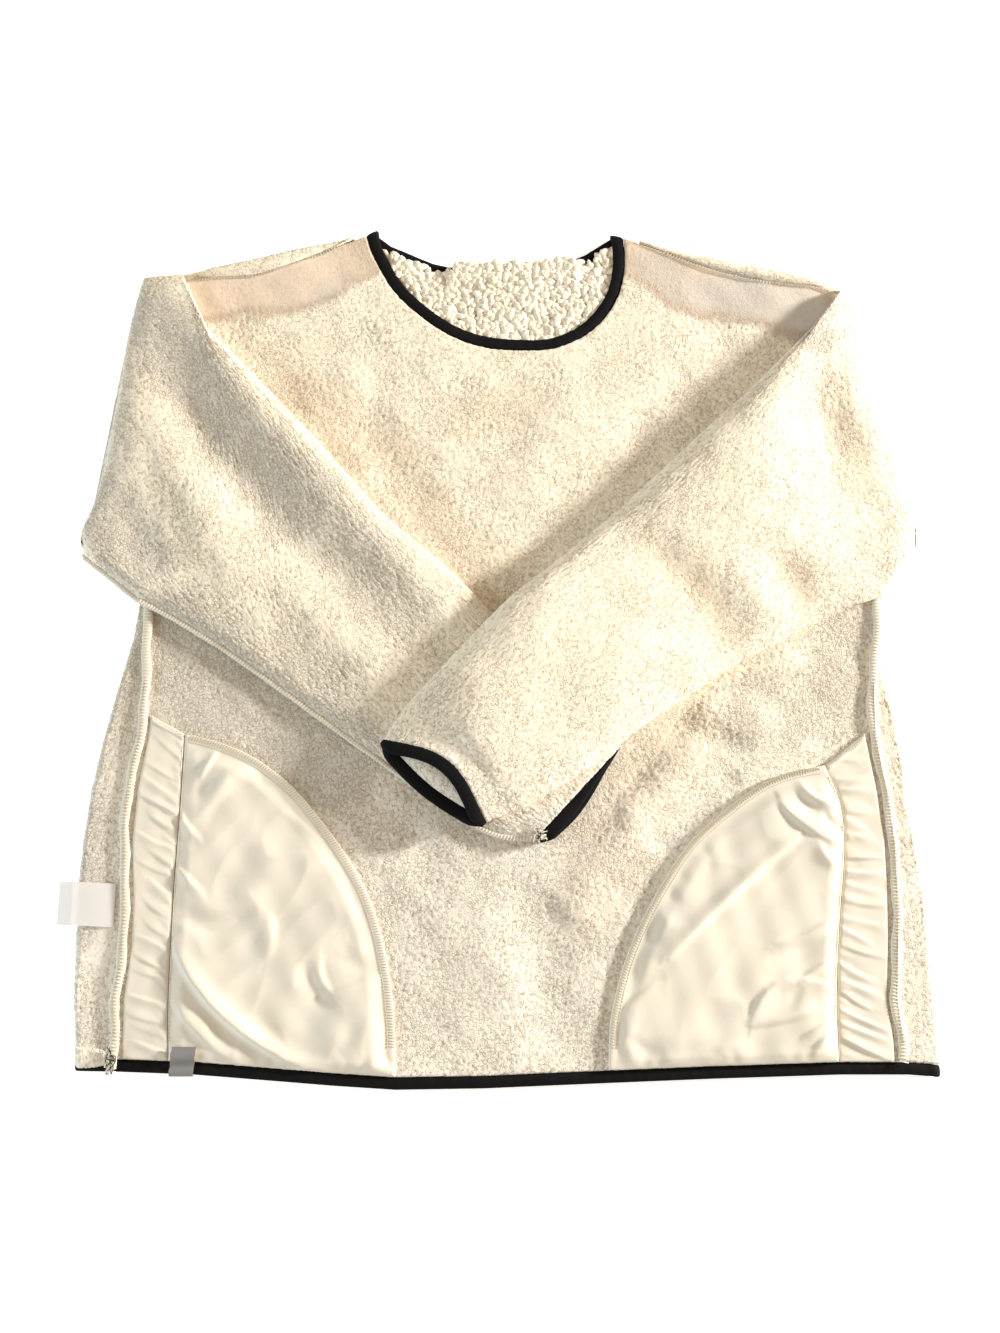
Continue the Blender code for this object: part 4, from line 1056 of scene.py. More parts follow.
def neck_ring():
    """Middles, sides to the free edge, faces and layer of the stations round the neck."""
    half = NECK_BIND_WIDE / 2
    front = resample(smooth(NECK_FRONT, 8), 27)
    side = left_of(front)
    front = front + side * (half + GAP)
    back = resample(smooth(NECK_BACK[::-1], 8), 17)
    back_side = -left_of(back)
    back = back - back_side * half
    stations = [(x, y, BIND_FRONT_Z, w, (0, 0, 1), 1) for (x, y), w in zip(front, side)]
    radius = (BIND_FRONT_Z - BIND_BACK_Z) / 2
    middle_z = (BIND_FRONT_Z + BIND_BACK_Z) / 2

    def turn(start, end, w0, w1):
        out = []
        for angle in (45, 90, 135):
            part = angle / 180
            c, s = np.cos(np.radians(angle)), np.sin(np.radians(angle))
            w = w0 + (w1 - w0) * part
            place = start + (end - start) * part
            tip = np.array((0.0, 1.0))
            x, y = place + tip * radius * s
            out.append((x, y, middle_z + radius * c, w / np.linalg.norm(w), (0, s, c), 0))
        return out

    stations += turn(front[-1], back[0], side[-1], back_side[0])
    stations += [(x, y, BIND_BACK_Z, w, (0, 0, -1), -1) for (x, y), w in zip(back, back_side)]
    closing = turn(front[0], back[-1], side[0], back_side[-1])[::-1]
    return stations + closing


neck = neck_ring()
print("neck stations", len(neck))


def neck_edge(layer):
    """The edge of a body panel along the binding, on the front or the back layer, from right to left."""
    reach = NECK_BIND_WIDE / 2 + GAP
    rows = [np.array((x, y)) - np.array(side) * reach for x, y, _, side, _, kind in neck if kind == layer]
    return np.array(rows)


def fold_line(index, seam_index):
    """A side fold up from the hem, each point with its roll."""
    x = body_up[0][index]
    points = [(x, float(hem_y(x)) + GAP)] + [(row[index], row[0]) for row in body_up]
    rolls = [SEAM_ROLL] + [min(FOLD_ROLL, abs(row[index] - row[seam_index]) * 0.4) for row in body_up]
    return points, rolls


# %% [markdown]
# ## Back panel
#
# Only three parts of the back show: the bowl inside the front's neckline, where its other face shows coarse
# curls, and the strips where it folds round to the front at the sides and shoulders. These get the fine
# grid, and the rest stays coarse.

# %% Back panel
def back_edge():
    """Outline of the back with rolls and heights, and the rails of the steps up to its folded strips."""
    edge, roll, top = [], [], []

    def add(points, rolls, heights):
        for i, point in enumerate(points):
            edge.append(tuple(point))
            roll.append(rolls[i] if np.ndim(rolls) else rolls)
            top.append(heights[i] if np.ndim(heights) else heights)

    wall = 0.7
    left_points, left_rolls = fold_line(1, 2)
    right_points, right_rolls = fold_line(4, 3)
    hem = hem_between(left_side[0][0], right_side[0][0]) + np.array((0, GAP))
    add(left_points[:1], left_rolls[:1], FRONT_TOP)
    add([(left_side[0][0] - wall, hem[0][1])], SEAM_ROLL, FRONT_TOP)
    left_low = len(edge)
    add(hem, SEAM_ROLL, BACK_TOP)
    right_low = len(edge) - 1
    add([(right_side[0][0] + wall, hem[-1][1])], SEAM_ROLL, FRONT_TOP)
    add(right_points, right_rolls, FRONT_TOP)
    add([RIGHT_ARMHOLE[8]], 1.2, FRONT_TOP)
    add([RIGHT_ARMHOLE[7]], SEAM_ROLL, FRONT_TOP)
    add([share(RIGHT_ARMHOLE, 6, SEAM_AT_UNDERARM + 0.04)], SEAM_ROLL, FRONT_TOP)
    right_up = len(edge)
    add([right_under], SEAM_ROLL, BACK_TOP)
    add(RIGHT_ARMHOLE[6:0:-1], SEAM_ROLL, BACK_TOP)
    right_shoulder_start = len(edge)
    add([right_top], SEAM_ROLL, BACK_TOP)
    add([share(RIGHT_ARMHOLE, 0, SEAM_AT_SHOULDER - 0.03)], SEAM_ROLL, FRONT_TOP)
    add([RIGHT_ARMHOLE[0]], SEAM_ROLL, FRONT_TOP)
    add([(x, fold) for x, fold, _ in RIGHT_SHOULDER], 3.0, FRONT_TOP)
    add([np.array(RIGHT_SHOULDER_END) + (1.0, 0.2)], SEAM_ROLL, FRONT_TOP)
    right_shoulder_stop = len(edge)
    add([RIGHT_SHOULDER_END], SEAM_ROLL, BACK_TOP)
    add(neck_edge(-1), SEAM_ROLL, BACK_TOP)
    left_shoulder_stop = len(edge)
    add([LEFT_SHOULDER_END], SEAM_ROLL, BACK_TOP)
    add([np.array(LEFT_SHOULDER_END) - (1.0, 0.2)], SEAM_ROLL, FRONT_TOP)
    add([(x, fold) for x, fold, _ in LEFT_SHOULDER[::-1]], 3.0, FRONT_TOP)
    add([LEFT_ARMHOLE[0]], SEAM_ROLL, FRONT_TOP)
    add([share(LEFT_ARMHOLE, 0, SEAM_AT_SHOULDER - 0.03)], SEAM_ROLL, FRONT_TOP)
    left_shoulder_start = len(edge)
    add([left_top], SEAM_ROLL, BACK_TOP)
    add(LEFT_ARMHOLE[1:7], SEAM_ROLL, BACK_TOP)
    left_up = len(edge)
    add([left_under], SEAM_ROLL, BACK_TOP)
    add([share(LEFT_ARMHOLE, 6, SEAM_AT_UNDERARM + 0.04)], SEAM_ROLL, FRONT_TOP)
    add([LEFT_ARMHOLE[7]], SEAM_ROLL, FRONT_TOP)
    add([LEFT_ARMHOLE[8]], 1.2, FRONT_TOP)
    add(left_points[:0:-1], left_rolls[:0:-1], FRONT_TOP)

    def wall_rails(seam, outside, start, start_outer, end, end_outer, high):
        foot = [(x, y, BACK_TOP) for x, y in seam[1:-1]]
        away = left_of(seam) * outside
        lip = [(x, y, high(y)) for x, y in (seam + away * wall)[1:-1]]
        return [(start, foot, end), (start_outer, lip, end_outer)]

    def side_top(y):
        return FRONT_TOP + (RIDGE_TOP - FRONT_TOP) * ridge(y)

    rails = wall_rails(left_side, 1, left_low, left_low - 1, left_up, left_up + 1, side_top)
    rails += wall_rails(right_side, -1, right_low, right_low + 1, right_up, right_up - 1, side_top)
    rails += wall_rails(
        left_shoulder, 1, left_shoulder_start, left_shoulder_start - 1,
        left_shoulder_stop, left_shoulder_stop + 1, lambda y: SHOULDER_RIDGE,
    )
    rails += wall_rails(
        right_shoulder, -1, right_shoulder_start, right_shoulder_start + 1,
        right_shoulder_stop, right_shoulder_stop - 1, lambda y: SHOULDER_RIDGE,
    )
    return edge, roll, top, rails


def strip_height(x, y):
    """Top of the back: its bowl inside the neckline, or a folded strip with the seam's rope along it."""
    on_left = inside(x, y, left_strip)
    on_right = inside(x, y, right_strip)
    on_shoulder = inside(x, y, left_shoulder_strip) | inside(x, y, right_shoulder_strip)
    side = np.where(on_left, to_line(x, y, left_side), to_line(x, y, right_side))
    raised = FRONT_TOP + rope(np.maximum(side - 0.7, 0), y) + 0.6 * swell(x, y, 42, 3.0)
    shoulder = to_shoulders(x, y)
    high = FRONT_TOP + (SHOULDER_RIDGE - FRONT_TOP) * np.clip(1 - (shoulder / 4.5) ** 2, 0, 1)
    return np.where(on_left | on_right, raised, np.where(on_shoulder, high, BACK_TOP))


def strip_outline(seam, fold):
    return np.vstack([seam, fold[::-1]])


def back_panel():
    edge, roll, top, rails = back_edge()
    edge = np.array(edge)
    bowl = np.vstack([neck_edge(-1)[::-1], neck_edge(1)[::-1]])

    def shows(x, y):
        in_bowl = to_outline(x, y, bowl) < 9
        strips = np.zeros(x.shape, bool)
        for strip in (left_strip, right_strip, left_shoulder_strip, right_shoulder_strip):
            strips |= to_outline(x, y, strip) < -0.9
        return in_bowl & ~strips | strips

    def hidden(x, y):
        return ~shows(x, y) & (to_sides(x, y) > 9)

    fine = grid_spots(edge, 1.9, shows, 1)
    coarse = grid_spots(edge, 24, hidden, 2)
    verts, groups = panel(edge, roll, top, 0.0, strip_height, np.vstack([fine, coarse]), rails)
    mesh = mesh_of("back_panel_cloth", verts, groups)
    x, y, z = verts.T
    bowl_part = ease(1 - to_outline(x, y, bowl) / 9)
    shown = np.where(z > FRONT_LOW, 1.0, np.where((z > 0.3) & (bowl_part < 0.1), 0.6, bowl_part)) * (z > 0.3)
    on_seam = to_sides(x, y) < 4.6
    furred(mesh, verts, NAP, NAP_HIGH, 7, shown * np.where(on_seam, 0.25, 1.0))
    return mesh


def shoulder_fold(armhole, shoulder, end):
    return [armhole[0], *[row[:2] for row in shoulder], end]


left_strip = strip_outline(left_side, fold_line(1, 2)[0] + [LEFT_ARMHOLE[8], LEFT_ARMHOLE[7]])
right_strip = strip_outline(right_side, fold_line(4, 3)[0] + [RIGHT_ARMHOLE[8], RIGHT_ARMHOLE[7]])
left_shoulder_fold = shoulder_fold(LEFT_ARMHOLE, LEFT_SHOULDER, LEFT_SHOULDER_END)
right_shoulder_fold = shoulder_fold(RIGHT_ARMHOLE, RIGHT_SHOULDER, RIGHT_SHOULDER_END)
left_shoulder_strip = strip_outline(left_shoulder, left_shoulder_fold)
right_shoulder_strip = strip_outline(right_shoulder, right_shoulder_fold)
piece("back_panel_cloth", back_panel(), nap_finish, "sherpa_curl", "back_panel")

# %% [markdown]
# ## Front panel
#
# The front lies between the seams. Its soft dents and the folds below the crossed sleeves are placed one
# by one, and the points get fine only where neither a sleeve nor a pocket covers it.

# %% Covered parts of the front
def left_outline():
    """The left sleeve in plan."""
    upper = [LEFT_ARMHOLE[0]] + [row[:2] for row in LEFT_SLEEVE]
    lower = [row[2:4] for row in LEFT_SLEEVE[::-1]]
    past_cuff = np.array(LEFT_CUFF_AXIS) * (CUFF_BIND_WIDE + LEFT_CUFF_LIPS[1])
    cuff = [np.array(p) + past_cuff for p in (upper[-1], lower[0])]
    outline = upper + cuff + lower + [LEFT_ARMHOLE[-1]] + list(LEFT_SLEEVE_FOLD[::-1])
    return np.array([tuple(p) for p in outline], float)[::-1]


def right_outline():
    """The right sleeve in plan."""
    upper = [RIGHT_ARMHOLE[0]] + [row[:2] for row in RIGHT_SLEEVE]
    lower = [row[2:4] for row in RIGHT_SLEEVE[::-1]]
    outline = upper + lower + [RIGHT_ARMHOLE[-1]] + list(RIGHT_SLEEVE_FOLD[::-1])
    return np.array([tuple(p) for p in outline], float)


LEFT_PLAN = left_outline()
RIGHT_PLAN = right_outline()
left_pocket_plan = np.array(list(LEFT_BAG_CURVE) + [(-283, -300), (-274, -44)], float)
right_pocket_plan = np.array(list(RIGHT_BAG_CURVE) + [(296, -300), (286, -60)], float)


def to_sleeves(x, y):
    return np.minimum(to_outline(x, y, LEFT_PLAN), to_outline(x, y, RIGHT_PLAN))


def to_pockets(x, y):
    return np.minimum(to_outline(x, y, left_pocket_plan), to_outline(x, y, right_pocket_plan))


print("outlines", len(LEFT_PLAN), len(RIGHT_PLAN), "points")

# %% Front panel
# Soft creases: x and y of both ends, half-width, height (a trough is negative)
FRONT_CREASES = (
    (-155, 225, -122, 238, 26, 1.2),
    (-108, 197, -76, 140, 30, -1.4),
    (20, 150, 60, 215, 34, 1.6),
    (118, 205, 185, 270, 30, -1.2),
    (200, -48, 165, -40, 26, 2.2),
    (150, -72, 105, -118, 20, 2.4),
    (175, -95, 128, -140, 18, -1.6),
    (98, -135, 60, -190, 26, 1.6),
    (-40, -190, 5, -250, 30, 1.4),
    (-60, -150, -30, -205, 24, -1.4),
    (30, -200, 40, -280, 26, -1.2),
)


def front_height(x, y):
    seam = to_sides(x, y)
    clear = ease(to_sleeves(x, y) / 20) * ease(to_pockets(x, y) / 16)
    shoulder = to_shoulders(x, y)
    lift = 0.9 * np.clip(1 - (shoulder / 4.0) ** 2, 0, 1)
    soft = 1.5 * creased(x, y, FRONT_CREASES) + 1.1 * swell(x, y, 90, 1.0) + 0.5 * swell(x, y, 34, 4.0)
    return FRONT_TOP + rope(np.maximum(seam - GAP, 0), y) + soft * clear + lift


def front_panel():
    left_in = left_side - left_of(left_side) * GAP
    right_in = right_side + left_of(right_side) * GAP
    left_in[0] = (left_in[0][0], float(hem_y(left_in[0][0])) + GAP)
    right_in[0] = (right_in[0][0], float(hem_y(right_in[0][0])) + GAP)
    hem = hem_between(left_in[0][0], right_in[0][0]) + np.array((0, GAP))
    left_up = left_shoulder - left_of(left_shoulder) * GAP
    right_up = right_shoulder + left_of(right_shoulder) * GAP
    edge = np.vstack([
        hem[:-1], right_in, RIGHT_ARMHOLE[6:0:-1], right_up[:-1], neck_edge(1)[::-1],
        left_up[::-1][1:], LEFT_ARMHOLE[1:7], left_in[:0:-1],
    ])
    top = front_height(edge[:, 0], edge[:, 1])

    def shows(x, y):
        return (to_sleeves(x, y) > -7) & (to_pockets(x, y) > -5)

    fine = grid_spots(edge, 1.75, shows, 3)
    coarse = grid_spots(edge, 16, lambda x, y: ~shows(x, y), 4)
    verts, groups = panel(edge, SEAM_ROLL, top, FRONT_LOW, front_height, np.vstack([fine, coarse]))
    mesh = mesh_of("front_panel_cloth", verts, groups)
    x, y, z = verts.T
    under = np.minimum(to_sleeves(x, y), to_pockets(x, y))
    shown = ease((under + 2) / 5) * (z > FRONT_LOW + 2)
    on_seam = to_sides(x, y) < 4.6
    furred(mesh, verts, NAP, NAP_HIGH, 11, shown * np.where(on_seam, 0.2, 1.0), 1.0)
    return mesh


piece("front_panel_cloth", front_panel(), nap_finish, "sherpa_nap", "front_panel")

# %% [markdown]
# ## Sleeves
#
# Each sleeve is a flattened tube. It leaves the armhole, turns over at its outer fold and crosses the
# front. Rungs across it, from its upper to its lower edge, carry a fine row of points on top and a coarse
# row below, and the tube goes on inside from the cuff, so the open cuff shows a real hollow.

# %% Sleeve rungs
ACROSS = 168
UNDER = 26


def rung_paths(table, armhole, fold):
    """Paths across the sleeve every 3 mm or so, the air in each, and whether it hangs past the body."""
    steps = 12
    fold, armhole = spline(fold, steps), spline(armhole, steps)
    count = len(fold)
    parts = np.concatenate([[0.0, 0.02, 0.06, 0.12], np.linspace(0.17, 0.985, 26)])
    paths = [fold + (armhole - fold) * part for part in parts]
    air = [0.8 * part for part in parts]
    flat = [True] * len(parts)
    rows = smooth(table, 3.4)
    first = resample([armhole[0], armhole[-1]], count)
    bow = armhole - first
    start = armhole[0][0], armhole[0][1], armhole[-1][0], armhole[-1][1], 1.0
    lead = smooth([start, table[0]], 3.4)[1:-1]
    rows = np.vstack([lead, rows])
    for index, row in enumerate(rows):
        part = (index + 1) / len(rows)
        paths.append(resample([row[:2], row[2:4]], count) + bow * (1 - ease(part / 0.42)))
        air.append(row[4])
        flat.append(False)
    return paths, air, flat, len(parts)


def spread(path, count, thick_ends):
    """The path at evenly spread places, closer together at its ends."""
    along = lengths(path)
    u = np.linspace(0, 1, count)
    at = (u - thick_ends * np.sin(2 * np.pi * u) / (2 * np.pi)) * along[-1]
    places = np.column_stack([np.interp(at, along, path[:, k]) for k in range(2)])
    return places, at, along[-1]


def crown(s):
    return np.sin(np.pi * np.clip(s, 0, 1)) ** 0.7


print("points across a sleeve", ACROSS, "on top,", UNDER, "below")

# %% Folds of the sleeves
# x and y of the start, the middle and the end of each, half-width, height, lean
LEFT_SLEEVE_FOLDS = (
    (-290, 268, -248, 196, -188, 132, 28, -7.0, 0),
    (-208, 152, -158, 96, -84, 38, 27, -5.6, 0),
    (-262, 290, -190, 203, -112, 114, 20, 3.0, 0),
    (-128, 132, -92, 92, -24, 20, 18, 3.0, 0),
    (-282, 236, -248, 138, -192, 44, 24, 5.0, 0),
    (-312, 150, -296, 110, -270, 74, 20, -2.4, 0),
    (-150, 40, -120, 10, -80, -24, 22, 1.6, 0),
    (-200, 60, -180, 40, -150, 10, 16, -1.2, 0),
)
RIGHT_SLEEVE_FOLDS = (
    (246, 240, 262, 196, 286, 140, 34, -4.2, 0),
    (268, 262, 290, 214, 300, 170, 18, 2.2, 0),
    (112, 96, 150, 48, 182, 6, 24, -5.4, 0),
    (214, 92, 228, 66, 240, 40, 19, -4.6, 0),
    (176, 70, 204, 50, 222, 20, 20, 2.0, 0),
    (70, 96, 40, 50, 20, 10, 22, 1.6, 0),
    (60, -10, 40, -50, 20, -80, 20, -1.8, 0),
    (10, -10, -10, -44, -40, -66, 22, 1.4, 0),
    (190, 190, 150, 150, 96, 100, 22, 1.6, 0),
    (298, 120, 286, 96, 262, 80, 20, -1.6, 0),
)
print("sleeve folds", len(LEFT_SLEEVE_FOLDS), len(RIGHT_SLEEVE_FOLDS))

# %% Sleeve shells
def right_low(x, y):
    away = to_outline(x, y, LEFT_PLAN)
    return LYING + (RIGHT_OVER_LEFT - LYING) * ease((62 - away) / 42)


def right_high(x, y):
    away = to_outline(x, y, LEFT_PLAN)
    base = LYING + (RIGHT_OVER_LEFT - LYING) * ease((150 - away) / 150)
    return base + 2 * SLEEVE_WALL + SLEEVE_SLACK + folded(x, y, RIGHT_SLEEVE_FOLDS)


def left_low(x, y):
    return np.full(np.shape(x), LYING)


def left_high(x, y):
    return LYING + 2 * SLEEVE_WALL + SLEEVE_SLACK + folded(x, y, LEFT_SLEEVE_FOLDS)


def lip(s):
    """How far the middle of a cuff's lip moves, as a share."""
    return np.sin(np.pi * s) ** 1.2


def rounded(away):
    """A quarter circle's rise, from 0 at an edge to 1 at one radius from it."""
    return np.sqrt(np.clip(1 - (1 - np.clip(away, 0, 1)) ** 2, 0, 1))


# Radius of the roll at the upper and lower edges, on top and below, and the least height of the outer fold
TOP_ROLL = 13.0
UNDER_ROLL = 6.0
FOLD_SHARE = 0.22


def sleeve(name, table, armhole, fold, lying, upper, lips, axis, fold_roll, fuller, seed):
    """Mesh of a sleeve, the rings of its cuff, and its upper and lower edges."""
    paths, air, flat, first_free = rung_paths(table, armhole, fold)
    axis = np.array(axis)
    last = len(paths) - 1
    outer, hollow = [], []
    for index, (path, room, hangs) in enumerate(zip(paths, air, flat)):
        tops, at, length = spread(path, ACROSS, 0.5)
        lows, at_low, _ = spread(path, UNDER + 2, 0.3)
        from_fold = to_line(*tops.T, fold) / fold_roll
        from_fold_low = np.interp(at_low, at, from_fold)
        tip = FOLD_SHARE + (1 - FOLD_SHARE) * rounded(from_fold)
        tip_low = FOLD_SHARE + (1 - FOLD_SHARE) * rounded(from_fold_low * 3)
        rise = rounded(np.minimum(at, length - at) / TOP_ROLL)
        fall = rounded(np.minimum(at_low, length - at_low) / UNDER_ROLL)
        soft = 0.7 * swell(*tops.T, 64, seed) + 0.35 * swell(*tops.T, 30, seed + 2)
        swelling = fuller * ease((index - first_free + 28) / 64) * ease((last - index) / 30)
        high = upper(*tops.T) + room * crown(at / length) + soft
        high = high + swelling * np.sin(np.pi * (at / length) ** 0.55) ** 0.8
        low = np.zeros(len(lows)) if hangs else lying(*lows.T)
        middle = (high + np.interp(at, at_low, low)) / 2
        middle_low = np.interp(at_low, at, middle)
        ring_top = np.column_stack([tops, middle + (high - middle) * rise * tip])
        ring_low = np.column_stack([lows, middle_low + (low - middle_low) * fall * tip_low])[1:-1][::-1]
        pull = ease((index - last + 24) / 24)
        ring_top[:, :2] -= axis * (lip(at / length) * lips[0] * pull)[:, None]
        ring_low[:, :2] += axis * (lip(at_low / length)[1:-1][::-1] * lips[1] * pull)[:, None]
        outer.append(np.vstack([ring_top, ring_low]))
        if index > first_free + 6 and (index - last) % 6 == 0:
            hollow.append(inside_ring(outer[-1], at, at_low[1:-1][::-1], length))
    size = len(outer[0])
    verts = np.vstack(outer + hollow[::-1])
    mesh = mesh_of(name, verts, tube_faces(verts, size))
    under_side = np.tile(np.arange(size) >= ACROSS, len(outer))
    hangs_free = np.repeat(np.array(flat), size)
    shown = np.ones(len(verts))
    shown[len(outer) * size:] = 0.35
    shown[: len(outer) * size][under_side] = np.where(hangs_free, 0.5, 0.0)[under_side]
    furred(mesh, verts, NAP, NAP_HIGH, seed, shown)
    edges = [np.array([ring[k] for ring in outer]) for k in (0, ACROSS - 1)]
    return mesh, outer[-1], hollow[-1], edges


def inside_ring(ring, at, at_low, length):
    """The same ring, one wall further in."""
    inner = ring.copy()
    tops, lows = ring[:ACROSS], ring[ACROSS:]
    s_top, s_low = at / length, at_low / length
    low_here = np.interp(s_top, s_low[::-1], lows[::-1, 2])
    high_there = np.interp(s_low, s_top, tops[:, 2])
    side = SLEEVE_WALL + 1.2
    squeezed = side, length - side
    chord = tops[-1, :2] - tops[0, :2]
    chord = chord / np.linalg.norm(chord)
    inner[:ACROSS, :2] += chord * (np.interp(s_top, (0, 1), squeezed) - at)[:, None]
    inner[ACROSS:, :2] += chord * (np.interp(s_low, (0, 1), squeezed) - at_low)[:, None]
    middle = (tops[:, 2] + low_here) / 2
    inner[:ACROSS, 2] = np.maximum(tops[:, 2] - SLEEVE_WALL, middle + 0.15)
    middle = (lows[:, 2] + high_there) / 2
    inner[ACROSS:, 2] = np.minimum(lows[:, 2] + SLEEVE_WALL, middle - 0.15)
    return inner


left_mesh, left_outer, left_inner, left_edges = sleeve(
    "sleeve_left_cloth", LEFT_SLEEVE, LEFT_ARMHOLE, LEFT_SLEEVE_FOLD,
    left_low, left_high, LEFT_CUFF_LIPS, LEFT_CUFF_AXIS, 34, 1.5, 17,
)
piece("sleeve_left_cloth", left_mesh, nap_finish, "sherpa_nap", "sleeve_left")
right_mesh, right_outer, right_inner, _ = sleeve(
    "sleeve_right_cloth", RIGHT_SLEEVE, RIGHT_ARMHOLE, RIGHT_SLEEVE_FOLD,
    right_low, right_high, RIGHT_CUFF_LIPS, RIGHT_CUFF_AXIS, 24, 10.0, 23,
)
piece("sleeve_right_cloth", right_mesh, nap_finish, "sherpa_nap", "sleeve_right")

# %% [markdown]
# ## Bindings
#
# A folded strip of black knit wraps each raw edge. Its section is a soft, flat pillow, swept along the
# neck and the hem and round each cuff, with faint puckers where the stitching gathers it.

# %% Neck and hem bindings
def pillow(wide, thick, points=14):
    """Outline of a folded binding: across, and through."""
    angles = np.linspace(0, 2 * np.pi, points, endpoint=False) + np.pi / points
    c, s = np.cos(angles), np.sin(angles)
    across = np.sign(c) * np.abs(c) ** 0.55 * wide / 2
    through = np.sign(s) * np.abs(s) ** 0.75 * thick / 2
    return np.column_stack([across, through])


def swept(name, places, sides, faces, wide, thick):
    """A pillow section along a closed line of stations."""
    section = pillow(wide, thick)
    along = lengths(places)
    pucker = 1 + 0.05 * np.sin(along / 2.9) + 0.04 * np.sin(along / 1.3 + 1.0)
    rings = places[:, None, :] + sides[:, None, :] * section[None, :, 0, None]
    rings = rings + faces[:, None, :] * section[None, :, 1, None] * pucker[:, None, None]
    verts = rings.reshape(-1, 3)
    quads = tube_faces(verts, len(section), closed=True)
    verts[:, 2] = np.maximum(verts[:, 2], 0.0)
    return mesh_of(name, verts, quads)


def finer(rows, pitch):
    """Stations filled in between, each a row of numbers; the ring is closed."""
    rows = np.array(rows, float)
    out = []
    for here, there in zip(rows, np.roll(rows, -1, axis=0)):
        cuts = max(1, int(np.linalg.norm(there[:3] - here[:3]) / pitch))
        out += [here + (there - here) * k / cuts for k in range(cuts)]
    return np.array(out)


def unit(rows):
    return rows / np.maximum(np.linalg.norm(rows, axis=1), 1e-9)[:, None]


def neck_rows():
    rows = []
    for x, y, z, side, face, _ in neck:
        rows.append((x, y, z, side[0], side[1], 0.0, *face))
    return finer(rows, 1.5)


def hem_rows():
    radius = (BIND_FRONT_Z - BIND_BACK_Z) / 2
    middle_z = (BIND_FRONT_Z + BIND_BACK_Z) / 2
    margin = radius + BIND_THICK / 2
    left, right = body_up[0][1] + margin, body_up[0][4] - margin
    drop = HEM_BIND_WIDE / 2
    line = hem_between(left, right)
    rows = [(x, y - drop, BIND_FRONT_Z, 0, -1, 0, 0, 0, 1) for x, y in line]
    for x, sign in ((right, 1), (left, -1)):
        y = float(hem_y(x + sign * margin)) - drop
        for angle in (30, 60, 90, 120, 150):
            c, s = np.cos(np.radians(angle)) * sign, np.sin(np.radians(angle))
            rows.append((x + sign * radius * s, y, middle_z + radius * c, 0, -1, 0, sign * s, 0, c))
        if sign == 1:
            rows += [(x, y - drop, BIND_BACK_Z, 0, -1, 0, 0, 0, -1) for x, y in line[::-1]]
    return finer(rows, 1.7)


for name, rows, wide, node in (
    ("neck_binding_cloth", neck_rows(), NECK_BIND_WIDE, "neck_binding"),
    ("hem_binding_cloth", hem_rows(), HEM_BIND_WIDE, "hem_binding"),
):
    made = swept(name, rows[:, :3], unit(rows[:, 3:6]), unit(rows[:, 6:9]), wide, BIND_THICK)
    piece(name, made, binding_finish, "binding", node)


# %% Cuff bindings
def cuff_binding(name, outer, inner, axis, narrow):
    """A rolled band round the cuff's edge. It narrows by a share toward the start of the ring."""
    axis = np.array((axis[0], axis[1], 0.0))
    middle = (outer + inner) / 2
    chord = outer[ACROSS - 1, :2] - outer[0, :2]
    along = ((outer[:, :2] - outer[0, :2]) @ chord) / (chord @ chord)
    wide = 1 - narrow * (1 - ease(along / 0.75))
    wide = wide * (1 - 0.5 * np.exp(-((along / 0.05) ** 2)) - 0.4 * np.exp(-(((1 - along) / 0.05) ** 2)))
    profile = ((0.1, 1.0), (1.2, 1.08), (4.5, 1.04), (7.8, 1.0), (9.2, 0.75), (9.8, 0.3))
    rings = []
    for at, part in profile:
        rings.append(middle + (outer - middle) * part + axis * (wide * (GAP + at))[:, None])
    for at, part in profile[::-1]:
        rings.append(middle + (inner - middle) * part + axis * (wide * (GAP + at))[:, None])
    verts = np.vstack(rings)
    return mesh_of(name, verts, tube_faces(verts, len(outer), closed=True))


for name, outer, inner, axis, narrow, node in (
    ("cuff_left_cloth", left_outer, left_inner, LEFT_CUFF_AXIS, 0.85, "cuff_binding_left"),
    ("cuff_right_cloth", right_outer, right_inner, RIGHT_CUFF_AXIS, 0.0, "cuff_binding_right"),
):
    piece(name, cuff_binding(name, outer, inner, axis, narrow), binding_finish, "binding", node)

# %% [markdown]
# ## Pockets
#
# Two bags of smooth jersey lie on the front. Each has a flat overlocked band along its curve, long soft
# creases across its middle, and beside it a strip that the stitching gathers into some twenty puckers.

